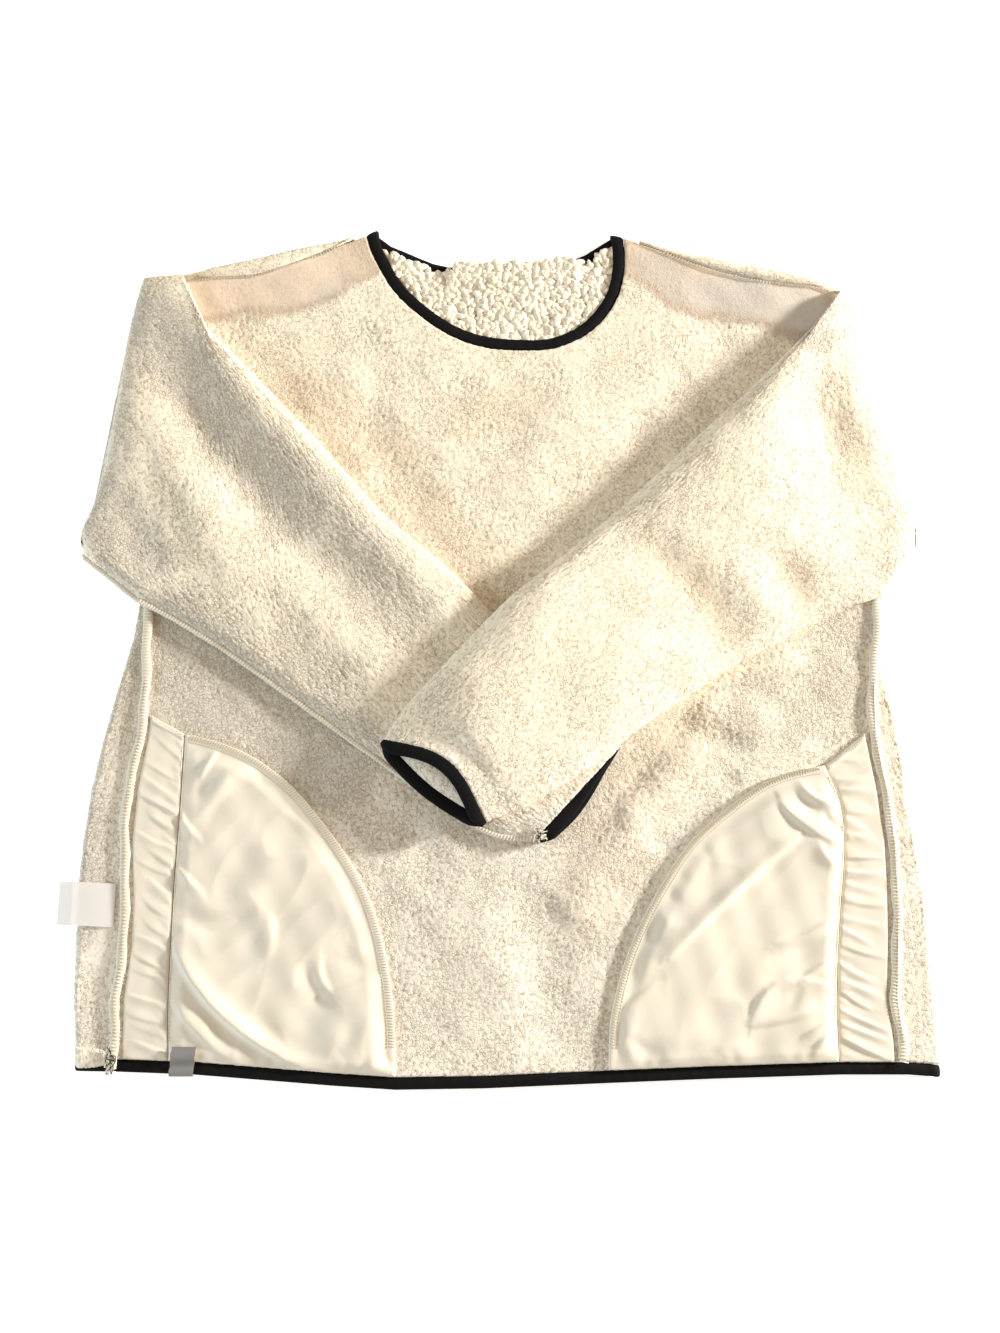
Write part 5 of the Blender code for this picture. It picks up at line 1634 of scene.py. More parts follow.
# %% Folds of the pocket bags
# x and y of the start, the middle and the end of each, half-width, height, lean
LEFT_BAG_FOLDS = (
    (-247, -220, -207, -273, -141, -312, 9, 3.0, -1),
    (-246, -260, -228, -282, -203, -302, 8, 1.1, -1),
    (-245, -193, -222, -206, -191, -195, 7, -1.3, 0),
    (-238, -181, -215, -193, -186, -181, 9, 1.2, 0),
    (-250, -159, -238, -171, -227, -182, 6, 1.1, 1),
    (-248, -119, -242, -129, -232, -139, 6, 1.2, 1),
    (-225, -127, -211, -104, -179, -94, 7, -1.2, 0),
    (-226, -114, -212, -94, -185, -84, 8, 1.3, 0),
    (-220, -70, -227, -82, -233, -92, 5, 1.3, 1),
    (-184, -114, -163, -132, -138, -149, 26, -1.3, 0),
    (-178, -196, -174, -213, -178, -230, 11, 1.1, 1),
    (-193, -206, -189, -230, -181, -251, 14, -1.0, 0),
    (-150, -230, -144, -246, -130, -268, 9, -1.4, 0),
    (-136, -230, -135, -244, -125, -258, 8, 1.2, 1),
    (-123, -201, -115, -215, -119, -227, 9, -1.2, 0),
    (-130, -258, -111, -251, -89, -244, 9, 1.2, 1),
    (-121, -234, -109, -234, -97, -239, 7, -1.0, 0),
    (-183, -272, -163, -289, -139, -303, 11, -1.3, 0),
    (-119, -300, -105, -291, -86, -282, 9, 0.9, 0),
    (-110, -277, -114, -291, -119, -305, 8, -1.0, 0),
    (-100, -313, -95, -307, -86, -305, 5, 1.0, 0),
    (-115, -167, -107, -181, -102, -196, 7, -1.0, 0),
    (-164, -119, -151, -129, -133, -147, 6, 0.8, 1),
)
RIGHT_BAG_FOLDS = (
    (228, -139, 177, -182, 127, -229, 8, 2.1, 1),
    (217, -110, 232, -127, 262, -144, 8, 1.6, -1),
    (220, -137, 242, -132, 256, -142, 6, -0.9, 0),
    (234, -96, 243, -107, 262, -113, 6, 1.6, 1),
    (230, -103, 238, -113, 247, -118, 6, -1.2, 0),
    (246, -144, 251, -154, 261, -163, 6, 1.0, 1),
    (251, -120, 255, -127, 262, -132, 4, -1.4, 0),
    (125, -171, 130, -182, 140, -190, 6, -0.6, 0),
    (108, -201, 112, -211, 121, -219, 6, -0.7, 0),
    (132, -159, 138, -168, 146, -173, 6, -0.5, 0),
    (154, -144, 160, -154, 160, -166, 6, -0.8, 0),
    (115, -182, 122, -197, 131, -204, 7, 0.6, 0),
    (209, -220, 231, -213, 254, -201, 7, 1.3, 1),
    (216, -229, 235, -222, 252, -215, 6, -1.1, 0),
    (188, -279, 208, -250, 245, -250, 9, 1.7, 1),
    (219, -264, 226, -253, 241, -248, 6, -1.6, 0),
    (227, -246, 237, -239, 251, -232, 6, 1.3, 1),
    (192, -279, 216, -274, 240, -266, 7, 1.6, -1),
    (126, -293, 157, -287, 190, -281, 9, 1.0, 0),
    (94, -262, 111, -246, 133, -232, 11, -1.2, 0),
    (89, -276, 101, -262, 118, -250, 8, 0.9, 1),
    (96, -285, 103, -294, 117, -300, 6, -1.1, 0),
    (86, -296, 94, -287, 92, -276, 6, 0.9, 0),
    (227, -287, 239, -281, 250, -276, 5, 1.4, 1),
    (236, -296, 242, -289, 251, -284, 5, 1.2, 1),
    (163, -302, 168, -296, 182, -294, 6, 0.9, 0),
    (170, -243, 177, -253, 179, -262, 12, -0.8, 0),
)
print("bag folds", len(LEFT_BAG_FOLDS), len(RIGHT_BAG_FOLDS))

# %% Pocket bags
def bag(name, curve, seam, folds, sign, lift, crumpled, seed):
    """Mesh of a pocket bag, its curve, seam and height. sign is 1 on the left and -1 on the right."""
    curved = resample(smooth(curve, 10), 60)
    down = smooth(seam, 10)
    seam_in = down + np.array((sign * GAP, 0.0))
    if sign > 0:
        hem = hem_between(seam_in[-1][0], curved[-1][0]) + np.array((0, 2 * GAP))
        edge = np.vstack([seam_in[1:-1], hem, curved[-2::-1]])
    else:
        hem = hem_between(curved[-1][0], seam_in[-1][0]) + np.array((0, 2 * GAP))
        edge = np.vstack([hem, seam_in[1:-1][::-1], curved[:-1]])
    base = LYING + JERSEY
    ridges = [row for row in folds if row[7] > 0]
    dents = [row for row in folds if row[7] < 0]

    def height(x, y):
        band = to_line(x, y, curved)
        away = to_line(x, y, down)
        low = y - hem_y(x)
        clear = ease((band - 7) / 12) * ease(away / 12) * ease(low / 8)
        slack = 1.5 * swell(x, y, 80, seed) + 0.9 * swell(x, y, 38, seed + 1)
        slack = slack + crumpled * (1 - 2.2 * np.abs(swell(x, y, 52, seed + 3)))
        folds_here = (1.9 * folded(x, y, ridges) + 1.25 * folded(x, y, dents)) * ease((band - 4) / 8)
        gathers = 0.5 * np.clip(1 - away / 13, 0, 1) * (0.5 + 0.5 * np.sin(y / 2.2 + 2.2 * np.sin(y / 11)))
        tucks = 0.6 * np.clip(1 - low / 14, 0, 1) * (0.5 + 0.5 * np.sin(x / 2.9 + 2.0 * np.sin(x / 9)))
        rolled = 0.35 * np.clip(1 - ((band - 3.2) / 3.4) ** 2, 0, 1)
        level = lift + 2.2 * clear + slack * clear + folds_here + gathers + tucks + rolled
        return base + np.maximum(level, 0.15)

    spots = grid_spots(edge, 1.7, everywhere, seed)
    verts, groups = panel(edge, 0.6, base + lift, LYING, height, spots, (), (45, 90, 135), 2.0)
    return mesh_of(name, verts, groups), curved, down, height


left_bag_mesh, left_bag_line, left_bag_down, left_bag_height = bag(
    "pocket_bag_left_cloth", LEFT_BAG_CURVE, LEFT_BAG_SEAM, LEFT_BAG_FOLDS, 1, 0.2, 0.8, 31
)
piece("pocket_bag_left_cloth", left_bag_mesh, jersey_finish, "jersey", "pocket_bag_left")
right_bag_mesh, right_bag_line, right_bag_down, right_bag_height = bag(
    "pocket_bag_right_cloth", RIGHT_BAG_CURVE, RIGHT_BAG_SEAM, RIGHT_BAG_FOLDS, -1, 1.6, 0.5, 37
)
piece("pocket_bag_right_cloth", right_bag_mesh, jersey_finish, "jersey", "pocket_bag_right")


# %% Puckered strips
LEFT_FACING_TOP = -42
RIGHT_FACING_TOP = -56
LONG_PUCKERS = 19
SHORT_PUCKERS = 30
PUCKER_HIGH = 2.6


def facing(name, seam, side, top_y, sign, steep, tall):
    """Mesh of a gathered strip and the line of its top. Its puckers slope by steep and rise by tall."""
    low_side = side[0][1] + GAP
    foot = RIDGE_FOOT_AT + 1.5
    bag_down = smooth(seam, 6)

    def along_line(line, y):
        order = np.argsort(line[:, 1])
        return np.interp(y, line[order, 1], line[order, 0])

    def spot(u, v):
        top_here = top_y + (seam[0][1] - top_y) * u
        y = low_side + GAP + (top_here - low_side - GAP) * v
        outer = along_line(side, y) + sign * foot
        return outer + (along_line(bag_down, y) - sign * GAP - outer) * u, y

    line_u = np.linspace(0, 1, 19)
    line_v = np.linspace(0, 1, 120)[1:-1]
    low = np.column_stack(spot(line_u, 0 * line_u))
    low[:, 1] = hem_y(low[:, 0]) + 2 * GAP
    high = np.column_stack(spot(line_u, 0 * line_u + 1))
    outer = np.column_stack(spot(0 * line_v, line_v))
    seam_side = np.column_stack(spot(0 * line_v + 1, line_v))
    if sign > 0:
        edge = np.vstack([low, seam_side, high[::-1], outer[::-1]])
    else:
        edge = np.vstack([low[::-1], outer, high, seam_side[::-1]])
    rows = []
    for k in range(LONG_PUCKERS):
        v = (k + 0.5 + 0.7 * (chance(k, 1.0, sign) - 0.5)) / LONG_PUCKERS
        drop = steep + 7.0 * chance(k, 2.0, sign)
        reach_out = 0.05 + 0.4 * chance(k, 3.0, sign) ** 2
        x0, y0 = spot(0.99, v)
        x2, y2 = spot(reach_out, v)
        wide = 3.4 + 2.4 * chance(k, 4.0, sign)
        size = tall * (0.35 + 0.4 * chance(k, 5.0, sign))
        middle = (x0 + x2) / 2, (y0 + y2) / 2 - 2.5 * (chance(k, 6.0, sign) - 0.2)
        lean = 1 if k % 3 else -1
        rows.append((x0, y0 - sign * drop / 2, *middle, x2, y2 + sign * drop / 2, wide, size, lean))
    for k in range(SHORT_PUCKERS):
        v = (k + chance(k, 7.0, sign)) / SHORT_PUCKERS
        x0, y0 = spot(0.995, v)
        x2, y2 = spot(0.66 + 0.2 * chance(k, 8.0, sign), v)
        rows.append((x0, y0 - sign, (x0 + x2) / 2, (y0 + y2) / 2, x2, y2 + sign * 2, 2.0, 0.4, 0))

    def height(x, y):
        rolled = 0.9 * np.clip(1 - ((to_line(x, y, high) - 3.0) / 2.0) ** 2, 0, 1)
        return LYING + JERSEY + 0.2 + folded(x, y, rows) + 0.3 * swell(x, y, 24, sign + 2) + rolled

    spots = grid_spots(edge, 1.25, everywhere, 51)
    verts, groups = panel(edge, 0.5, LYING + JERSEY, LYING, height, spots, (), (45, 90, 135), 2.0)
    return mesh_of(name, verts, groups), high


left_facing_mesh, left_facing_high = facing(
    "pocket_facing_left_cloth", LEFT_BAG_SEAM, left_side, LEFT_FACING_TOP, 1, 3.0, 0.65 * PUCKER_HIGH
)
piece("pocket_facing_left_cloth", left_facing_mesh, jersey_finish, "jersey", "pocket_facing_left")
right_facing_mesh, right_facing_high = facing(
    "pocket_facing_right_cloth", RIGHT_BAG_SEAM, right_side, RIGHT_FACING_TOP, -1, 14.0, 0.9 * PUCKER_HIGH
)
piece("pocket_facing_right_cloth", right_facing_mesh, jersey_finish, "jersey", "pocket_facing_right")

# %% [markdown]
# ## Tab and label
#
# A grey tape lies over the hem binding, and a doubled satin label comes out of the left side seam and
# reaches past the folded edge.

# %% Tab and label
# Grey tab over the hem: x of its middle, width, thickness
TAB_X = -237
TAB_WIDE = 18
TAB_THICK = 1.2
# Doubled label out of the left side seam: y of its middle, width, thickness, reach past the seam
LABEL_Y = -190
LABEL_WIDE = 33
LABEL_THICK = 1.0
LABEL_FROM = -294.5
LABEL_TO = -338.5


def ribbon(name, middles, half_side, ups, thick):
    """A thin closed strip along a line of middles."""
    rings = []
    for middle, side, up in zip(middles, half_side, ups):
        left, right = middle - side, middle + side
        half = up * thick / 2
        rings.append([left + half, right + half, right - half, left - half])
    verts = np.array(rings).reshape(-1, 3)
    mesh = mesh_of(name, verts, tube_faces(verts, 4))
    mesh.set_sharp_from_angle(angle=0.9)
    return mesh


def tab():
    y = float(hem_y(TAB_X))
    across = np.linspace(TAB_X - TAB_WIDE / 2, TAB_X + TAB_WIDE / 2, 12)
    flat = float(left_bag_height(*np.meshgrid(across, np.linspace(y + 2, y + 11, 8))).max()) + 0.7
    low = FRONT_TOP + 0.5 + TAB_THICK / 2
    over_bag = [(y + 11, flat), (y + 3.5, flat)]
    over_hem = [(y - 1.0, low + 1.0), (y - 3.5, low), (y - 7.5, low)]
    round_edge = [(y - 10.0, low - 1.6), (y - 10.2, FRONT_LOW + 1.0)]
    path = smooth(over_bag + over_hem + round_edge, 0.8)
    step = np.gradient(path, axis=0)
    step /= np.linalg.norm(step, axis=1)[:, None]
    middles = np.column_stack([TAB_X + 0.14 * (path[:, 0] - y), path])
    ups = np.column_stack([np.zeros(len(path)), step[:, 1], -step[:, 0]])
    ups *= np.sign(ups[0, 2])
    side = np.tile((TAB_WIDE / 2, 0.0, 0.0), (len(path), 1))
    side[:, 0] += 0.15 * np.sin(path[:, 0])
    return ribbon("hem_tab_tape", middles, side, ups, 0.9)


def label():
    part = np.linspace(0, 1, 40)
    x = LABEL_FROM + (LABEL_TO - LABEL_FROM) * part
    y = LABEL_Y + 2.0 * part
    z = LYING + LABEL_THICK / 2 + 0.4 + 0.9 * np.sin(np.pi * part) - 3.2 * np.clip(part - 0.75, 0, 1) / 0.25
    tilt = 0.5 * np.sin(2.2 * np.pi * part)
    middles = np.column_stack([x, y, z])
    side = np.column_stack([0 * x, 0 * x + LABEL_WIDE / 2, -tilt])
    ups = np.tile((0.0, 0.0, 1.0), (len(x), 1))
    return ribbon("care_label_satin", middles, side, ups, 0.55)


piece("hem_tab_tape", tab(), tape_finish, "tab_tape", "hem_tab")
piece("care_label_satin", label(), satin_finish, "label_satin", "care_label")

# %% Fleece over the left end of the hem
def hem_corner():
    """The back's pile puffs over the start of its binding, out to the left seam."""
    left = body_up[0][1] + 0.5
    right = left_side[np.argmin(left_side[:, 1])][0] - 2.5
    x = np.linspace(left, right, 24)
    u = (x - left) / (right - left)
    low = hem_y(x) - 7.0 + 4.0 * u**3 + 3.5 * (1 - np.clip(u * 5, 0, 1)) ** 2
    high = hem_y(x) + 9.0
    edge = np.vstack([np.column_stack([x, low]), np.column_stack([x, high])[::-1]])

    def height(px, py):
        inner = ease(-to_outline(px, py, edge) / 5)
        return 10.6 + 2.2 * inner

    spots = grid_spots(edge, 1.6, everywhere, 61)
    verts, groups = panel(edge, 1.4, 10.6, 8.6, height, spots, (), (45, 90, 135), 1.8)
    mesh = mesh_of("hem_corner_pile", verts, groups)
    furred(mesh, verts, NAP, NAP_HIGH, 7, np.ones(len(verts)))
    return mesh


piece("hem_corner_pile", hem_corner(), nap_finish, "sherpa_curl")

# %% [markdown]
# ## Sewing
#
# Stitches repeat along a line, so a Geometry Nodes tree sets them out: it resamples the line, puts one
# bent thread on each point, turned to the line's direction, and realizes them.

# %% Stitch tree
def stitch_tree():
    tree = bpy.data.node_groups.new("stitches", "GeometryNodeTree")
    face = tree.interface
    face.new_socket("Geometry", in_out="INPUT", socket_type="NodeSocketGeometry")
    for name in ("Pitch", "Across", "Along", "Height", "Thickness"):
        face.new_socket(name, in_out="INPUT", socket_type="NodeSocketFloat")
    face.new_socket("Thread", in_out="INPUT", socket_type="NodeSocketMaterial")
    face.new_socket("Geometry", in_out="OUTPUT", socket_type="NodeSocketGeometry")
    nodes, link = tree.nodes, tree.links.new
    start, end = nodes.new("NodeGroupInput"), nodes.new("NodeGroupOutput")
    line = nodes.new("GeometryNodeMeshToCurve")
    again = nodes.new("GeometryNodeResampleCurve")
    again.mode = "LENGTH"
    link(start.outputs["Geometry"], line.inputs["Mesh"])
    link(line.outputs["Curve"], again.inputs["Curve"])
    link(start.outputs["Pitch"], again.inputs["Length"])
    thread = nodes.new("GeometryNodeCurveQuadraticBezier")
    thread.inputs["Resolution"].default_value = 4

    def vector(x, y, z):
        node = nodes.new("ShaderNodeCombineXYZ")
        for slot_, value in zip(node.inputs, (x, y, z)):
            if value is not None:
                link(value, slot_)
        return node.outputs[0]

    def times(socket, number):
        node = nodes.new("ShaderNodeMath")
        node.operation = "MULTIPLY"
        link(socket, node.inputs[0])
        node.inputs[1].default_value = number
        return node.outputs[0]

    across, along = start.outputs["Across"], start.outputs["Along"]
    link(vector(times(along, -0.5), times(across, -0.5), None), thread.inputs["Start"])
    link(vector(None, None, times(start.outputs["Height"], 2.0)), thread.inputs["Middle"])
    link(vector(times(along, 0.5), times(across, 0.5), None), thread.inputs["End"])
    ring = nodes.new("GeometryNodeCurvePrimitiveCircle")
    ring.inputs["Resolution"].default_value = 5
    link(start.outputs["Thickness"], ring.inputs["Radius"])
    solid = nodes.new("GeometryNodeCurveToMesh")
    solid.inputs["Fill Caps"].default_value = True
    link(thread.outputs["Curve"], solid.inputs["Curve"])
    link(ring.outputs["Curve"], solid.inputs["Profile Curve"])
    tangent = nodes.new("GeometryNodeInputTangent")
    turn = nodes.new("FunctionNodeAlignRotationToVector")
    turn.axis = "X"
    link(tangent.outputs[0], turn.inputs["Vector"])
    put = nodes.new("GeometryNodeInstanceOnPoints")
    link(again.outputs["Curve"], put.inputs["Points"])
    link(solid.outputs["Mesh"], put.inputs["Instance"])
    link(turn.outputs["Rotation"], put.inputs["Rotation"])
    real = nodes.new("GeometryNodeRealizeInstances")
    paint = nodes.new("GeometryNodeSetMaterial")
    link(put.outputs["Instances"], real.inputs["Geometry"])
    link(real.outputs["Geometry"], paint.inputs["Geometry"])
    link(start.outputs["Thread"], paint.inputs["Material"])
    link(paint.outputs["Geometry"], end.inputs["Geometry"])
    return tree


STITCHES = stitch_tree()
print("stitch tree", len(STITCHES.nodes), "nodes")


# %% Sewing along a line
def grown(name, lines, tree, settings):
    """Runs a tree over polylines, given in millimetres, and returns the plain mesh."""
    verts, edges = [], []
    for line in lines:
        edges += [(len(verts) + k, len(verts) + k + 1) for k in range(len(line) - 1)]
        verts += [tuple(to_row(*p)) for p in line]
    guide_mesh = bpy.data.meshes.new(name + "_guide")
    guide_mesh.from_pydata(verts, edges, [])
    guide = bpy.data.objects.new(name + "_guide", guide_mesh)
    bpy.context.scene.collection.objects.link(guide)
    modifier = guide.modifiers.new("sew", "NODES")
    modifier.node_group = tree
    ids = {item.name: item.identifier for item in tree.interface.items_tree if item.in_out == "INPUT"}
    for key, value in settings.items():
        modifier[ids[key]] = value
    graph = bpy.context.evaluated_depsgraph_get()
    made = bpy.data.meshes.new_from_object(guide.evaluated_get(graph))
    made.name = name
    guide.modifiers.remove(modifier)
    bpy.data.objects.remove(guide, do_unlink=True)
    made.shade_smooth()
    return made


def sewn(name, lines, pitch, across, along, height, thickness, material, slot):
    """A row of stitches along each line, with sizes in millimetres."""
    sizes = {"Pitch": pitch, "Across": across, "Along": along, "Height": height, "Thickness": thickness}
    settings = {key: value * MM for key, value in sizes.items()}
    settings["Thread"] = material
    return piece(name, grown(name, lines, STITCHES, settings), material, slot)


# %% Overlocked seams
def seam_rope(name, line, wide, thick):
    """The raised, overlocked edge of a seam: a soft strip along x-y-z points, with blunt ends."""
    line = np.array(line, float)
    side = np.column_stack([left_of(line[:, :2]), np.zeros(len(line))])
    turn = np.linspace(0, 2 * np.pi, 10, endpoint=False)
    section = np.column_stack([np.cos(turn) * wide / 2, np.sin(turn) * thick / 2])
    along = lengths(line)
    ends = np.sqrt(np.clip(np.minimum(along, along[-1] - along) / 2.5, 0.04, 1))
    uneven = ends * (1 + 0.10 * np.sin(along / 6.0) + 0.06 * np.sin(along / 2.3))
    rings = line[:, None, :] + side[:, None, :] * (section[None, :, 0] * uneven[:, None])[:, :, None]
    rings[:, :, 2] += section[None, :, 1] * ends[:, None]
    verts = rings.reshape(-1, 3)
    return piece(name, mesh_of(name, verts, tube_faces(verts, len(section))), rope_finish, "sherpa_nap")


def overlock(name, line, wide, thick, pitch):
    """A seam rope with bright threads across it."""
    seam_rope(name + "_edge", line, wide, thick)
    low = np.array(line) - (0, 0, thick * 0.15)
    sewn(name + "_threads", [low], pitch, wide * 1.06, 0.8, thick * 0.76, 0.46, thread_finish, "sherpa_nap")


def wavy(line, by, pitch, seed):
    """The line shifted to its sides by slow waves."""
    along = lengths(line)
    wave = np.sin(along / pitch * 6.28 + seed) * 0.6 + np.sin(along / pitch * 2.6 + 2 * seed) * 0.4
    return line + left_of(line) * (by * wave)[:, None]


for name, side, past_hem, seed in (("left", left_side, 9.0, 1.0), ("right", right_side, -1.0, 2.4)):
    line = smooth(side, 2.5)
    line = line[line[:, 1] < 76]
    if past_hem > 0:
        foot = line[0] if line[0][1] < line[-1][1] else line[-1]
        tail = np.column_stack([np.full(5, foot[0]), foot[1] - np.linspace(1.5, past_hem, 5)])
        line = np.vstack([tail[::-1], line]) if line[0][1] < line[-1][1] else np.vstack([line, tail])
    line = wavy(line, 1.1, 46, seed)
    z = LYING + JERSEY + 0.3 + 0.3 * np.sin(line[:, 1] / 11)
    overlock(f"side_seam_{name}", np.column_stack([line, z]), 7.2, 2.2, 2.6)

edge = left_edges[1]
so_far = lengths(edge[:, :2])
marks = np.arange(0, so_far[-1], 2.5)
edge = np.column_stack([np.interp(marks, so_far, edge[:, k]) for k in range(3)])
outward = left_of(edge[:, :2])
outward = outward * np.sign((outward @ np.array((-0.5, -0.8)))[len(outward) // 2])
lift = 0.7 + (16.8 - edge[:, 2]) * ease(marks / 60) * 0.45
flange = np.column_stack([edge[:, :2] + outward * 0.9, edge[:, 2] + lift])
overlock("sleeve_seam_left", flange, 4.4, 1.8, 2.5)


# %% Stitches of the pockets
def beside(line, at, height, sign, lift):
    """A line beside another, lying on a cloth of the given height."""
    inner = line + left_of(line) * at * sign
    return np.column_stack([inner, height(inner[:, 0], inner[:, 1]) + lift])[1:-1]


for name, line, down, height, sign in (
    ("left", left_bag_line, left_bag_down, left_bag_height, -1),
    ("right", right_bag_line, right_bag_down, right_bag_height, 1),
):
    band = beside(line, 2.5, height, sign, -0.15)
    sewn(f"pocket_overlock_{name}", [band], 2.1, 4.6, 0.9, 0.42, 0.26, seam_thread_finish, "jersey")
    inner = beside(line, 5.9, height, sign, -0.02)
    sewn(f"pocket_topstitch_{name}", [inner], 2.6, 0.0, 1.9, 0.25, 0.24, seam_thread_finish, "jersey")
    seam = beside(down, -1.2, height, sign, 0.0)
    sewn(f"pocket_seam_{name}", [seam], 2.8, 0.0, 2.0, 0.28, 0.22, seam_thread_finish, "jersey")
for name, line in (("left", left_facing_high), ("right", right_facing_high)):
    rows = [[(x, y - at, LYING + JERSEY + 0.75) for x, y in smooth(line, 3)] for at in (1.6, 4.4)]
    sewn(f"facing_stitch_{name}", rows, 2.2, 1.4, 0.9, 0.4, 0.24, seam_thread_finish, "jersey")

for name, line in (("left", left_shoulder), ("right", right_shoulder)):
    line = resample(line, 90)
    inset = line - (0.0, 1.6)
    stitch = np.column_stack([inset, np.full(len(inset), FRONT_TOP + 1.1)])
    sewn(f"shoulder_stitches_{name}", [stitch], 2.6, 2.4, 0.8, 0.4, 0.3, seam_thread_finish, "sherpa_nap")

# %% [markdown]
# ## Curls at the neck
#
# The back's other face shows inside the neckline: fat curls, 10 mm long or so, that spill over its
# binding. A second tree scatters small blobs, each turned and sized by chance.

# %% Curl tree
def curl_tree():
    tree = bpy.data.node_groups.new("curls", "GeometryNodeTree")
    face = tree.interface
    face.new_socket("Geometry", in_out="INPUT", socket_type="NodeSocketGeometry")
    for name in ("Size", "Flatness"):
        face.new_socket(name, in_out="INPUT", socket_type="NodeSocketFloat")
    face.new_socket("Seed", in_out="INPUT", socket_type="NodeSocketInt")
    face.new_socket("Pile", in_out="INPUT", socket_type="NodeSocketMaterial")
    face.new_socket("Geometry", in_out="OUTPUT", socket_type="NodeSocketGeometry")
    nodes, link = tree.nodes, tree.links.new
    start, end = nodes.new("NodeGroupInput"), nodes.new("NodeGroupOutput")
    blob = nodes.new("GeometryNodeMeshUVSphere")
    blob.inputs["Segments"].default_value = 9
    blob.inputs["Rings"].default_value = 6
    link(start.outputs["Size"], blob.inputs["Radius"])
    shape = nodes.new("GeometryNodeTransform")
    scale = nodes.new("ShaderNodeCombineXYZ")
    scale.inputs[0].default_value = 1.25
    scale.inputs[1].default_value = 0.8
    link(start.outputs["Flatness"], scale.inputs[2])
    link(blob.outputs["Mesh"], shape.inputs["Geometry"])
    link(scale.outputs[0], shape.inputs["Scale"])
    turn = nodes.new("FunctionNodeRandomValue")
    turn.data_type = "FLOAT_VECTOR"
    turn.inputs[0].default_value = (-0.45, -0.45, 0.0)
    turn.inputs[1].default_value = (0.45, 0.45, 6.28)
    size = nodes.new("FunctionNodeRandomValue")
    size.data_type = "FLOAT"
    size.inputs[2].default_value = 0.72
    size.inputs[3].default_value = 1.2
    for node in (turn, size):
        link(start.outputs["Seed"], node.inputs["Seed"])
    points = nodes.new("GeometryNodeMeshToPoints")
    put = nodes.new("GeometryNodeInstanceOnPoints")
    link(start.outputs["Geometry"], points.inputs["Mesh"])
    link(points.outputs["Points"], put.inputs["Points"])
    link(shape.outputs["Geometry"], put.inputs["Instance"])
    link(turn.outputs[0], put.inputs["Rotation"])
    link(size.outputs[1], put.inputs["Scale"])
    real = nodes.new("GeometryNodeRealizeInstances")
    paint = nodes.new("GeometryNodeSetMaterial")
    link(put.outputs["Instances"], real.inputs["Geometry"])
    link(real.outputs["Geometry"], paint.inputs["Geometry"])
    link(start.outputs["Pile"], paint.inputs["Material"])
    link(paint.outputs["Geometry"], end.inputs["Geometry"])
    return tree


CURLS = curl_tree()
print("curl tree", len(CURLS.nodes), "nodes")


# %% Curls
def curl_piece(name, spots, size, flatness, seed, material, slot):
    """Blobs on the given x, y, z spots, wrinkled by the tuft field."""
    settings = {"Size": size * MM, "Flatness": flatness, "Seed": seed, "Pile": material}
    mesh = grown(name, [[p] for p in spots], CURLS, settings)
    count = len(mesh.vertices)
    co = np.empty(count * 3, np.float32)
    mesh.vertices.foreach_get("co", co)
    co = co.reshape(-1, 3)
    normal = normals_of(mesh)
    mm = co / MM
    bend = swell(mm[:, 0] + mm[:, 2], mm[:, 1] - mm[:, 2], 2.6, seed)
    co += normal * (bend * size * 0.14 * MM)[:, None]
    mesh.vertices.foreach_set("co", co.ravel())
    # Painted shade: the curls' tops take the tip colour, their sides and undersides the darker valley colour
    keep_value(mesh, "tuft", np.clip(0.5 + 0.5 * normal[:, 2] + 0.2 * bend, 0, 1))
    mesh.update()
    return piece(name, mesh, material, slot)


bowl_edge = np.vstack([neck_edge(-1)[::-1] + (0, 6.5), neck_edge(1)[::-1] + (0, -1)])
spots = grid_spots(bowl_edge, 4.7, everywhere, 41)
shift = np.column_stack([chance(spots[:, 0], spots[:, 1], 3), chance(spots[:, 1], spots[:, 0], 4)]) - 0.5
spots = spots + shift * 2.6
spots = spots[to_line(spots[:, 0], spots[:, 1], neck_edge(1)) > 8.5]
curls = [(x, y, 6.0 + 0.8 * swell(x, y, 30, 2.0)) for x, y in spots]
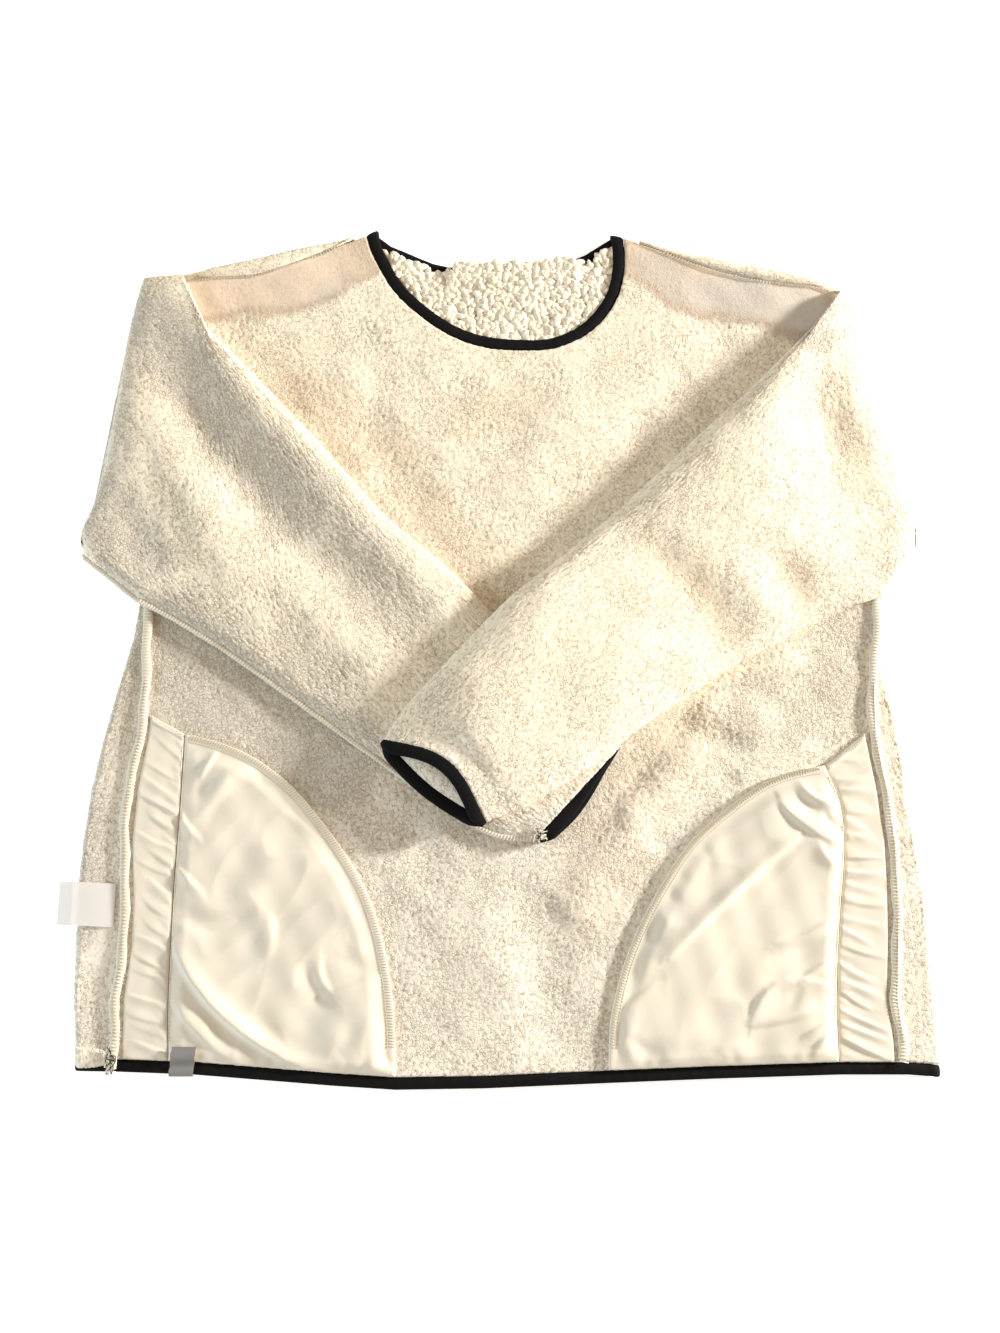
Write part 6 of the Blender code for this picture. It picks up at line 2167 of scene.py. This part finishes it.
# Rows of curls that cover the middle of the back binding, and the height of each
CURL_ROWS = (7.2, 8.4, 8.8, 9.2, 8.6)
for x, y in resample(neck_edge(-1), 60):
    covers = ease((62 - abs(x - 12)) / 16)
    for row, z in enumerate(CURL_ROWS):
        jitter = chance(x, row, 9) - 0.5
        if covers > 0.35 + 0.5 * abs(jitter):
            curls.append((x + 3 * jitter, y - 7.4 + 3.9 * row * covers, z))
curl_piece("neck_curls", curls, 4.5, 0.45, 5, curl_finish, "sherpa_curl")

# %% [markdown]
# ## Loose threads
#
# Where the overlock ends, at the left hem and at the left cuff, short tails of cream and black thread lie
# tangled. They are thin curves with a round bevel.

# %% Loose threads
def tangle(name, x, y, z, wide, tall, loops, material, seed):
    data = bpy.data.curves.new(name, "CURVE")
    data.dimensions = "3D"
    data.bevel_depth = 0.34 * MM
    data.bevel_resolution = 1
    data.use_fill_caps = True
    for k in range(loops):
        t = np.linspace(0, 1, 26)
        a, b, c = (chance(k + 1.0, j + 1.0, seed) * 6.28 for j in range(3))
        px = x + wide / 2 * np.sin(6.28 * t * (0.7 + 0.2 * k) + a) * (0.5 + 0.5 * np.sin(3.1 * t + b))
        py = y + tall * (t - 0.5) + 0.18 * tall * np.sin(6.28 * t * 1.7 + c)
        pz = z + 0.55 * np.sin(6.28 * t * 2 + a) + 0.35 * k
        line = data.splines.new("POLY")
        line.points.add(len(t) - 1)
        for point, where in zip(line.points, zip(px, py, pz)):
            point.co = (*to_row(*where), 1)
    made = bpy.data.objects.new(name, data)
    bpy.context.scene.collection.objects.link(made)
    graph = bpy.context.evaluated_depsgraph_get()
    mesh = bpy.data.meshes.new_from_object(made.evaluated_get(graph))
    bpy.data.objects.remove(made, do_unlink=True)
    mesh.name = name
    mesh.shade_smooth()
    return piece(name, mesh, material, "binding")


tangle("hem_thread_cream", -291, -306, 14.6, 9, 15, 5, thread_finish, 3)
tangle("hem_thread_black", -290, -305, 14.7, 8, 15, 6, black_thread_finish, 9)
tangle("cuff_thread_cream", 31, -137, 20.4, 10, 9, 5, thread_finish, 5)
tangle("cuff_thread_black", 31, -137, 20.5, 9, 8, 4, black_thread_finish, 6)
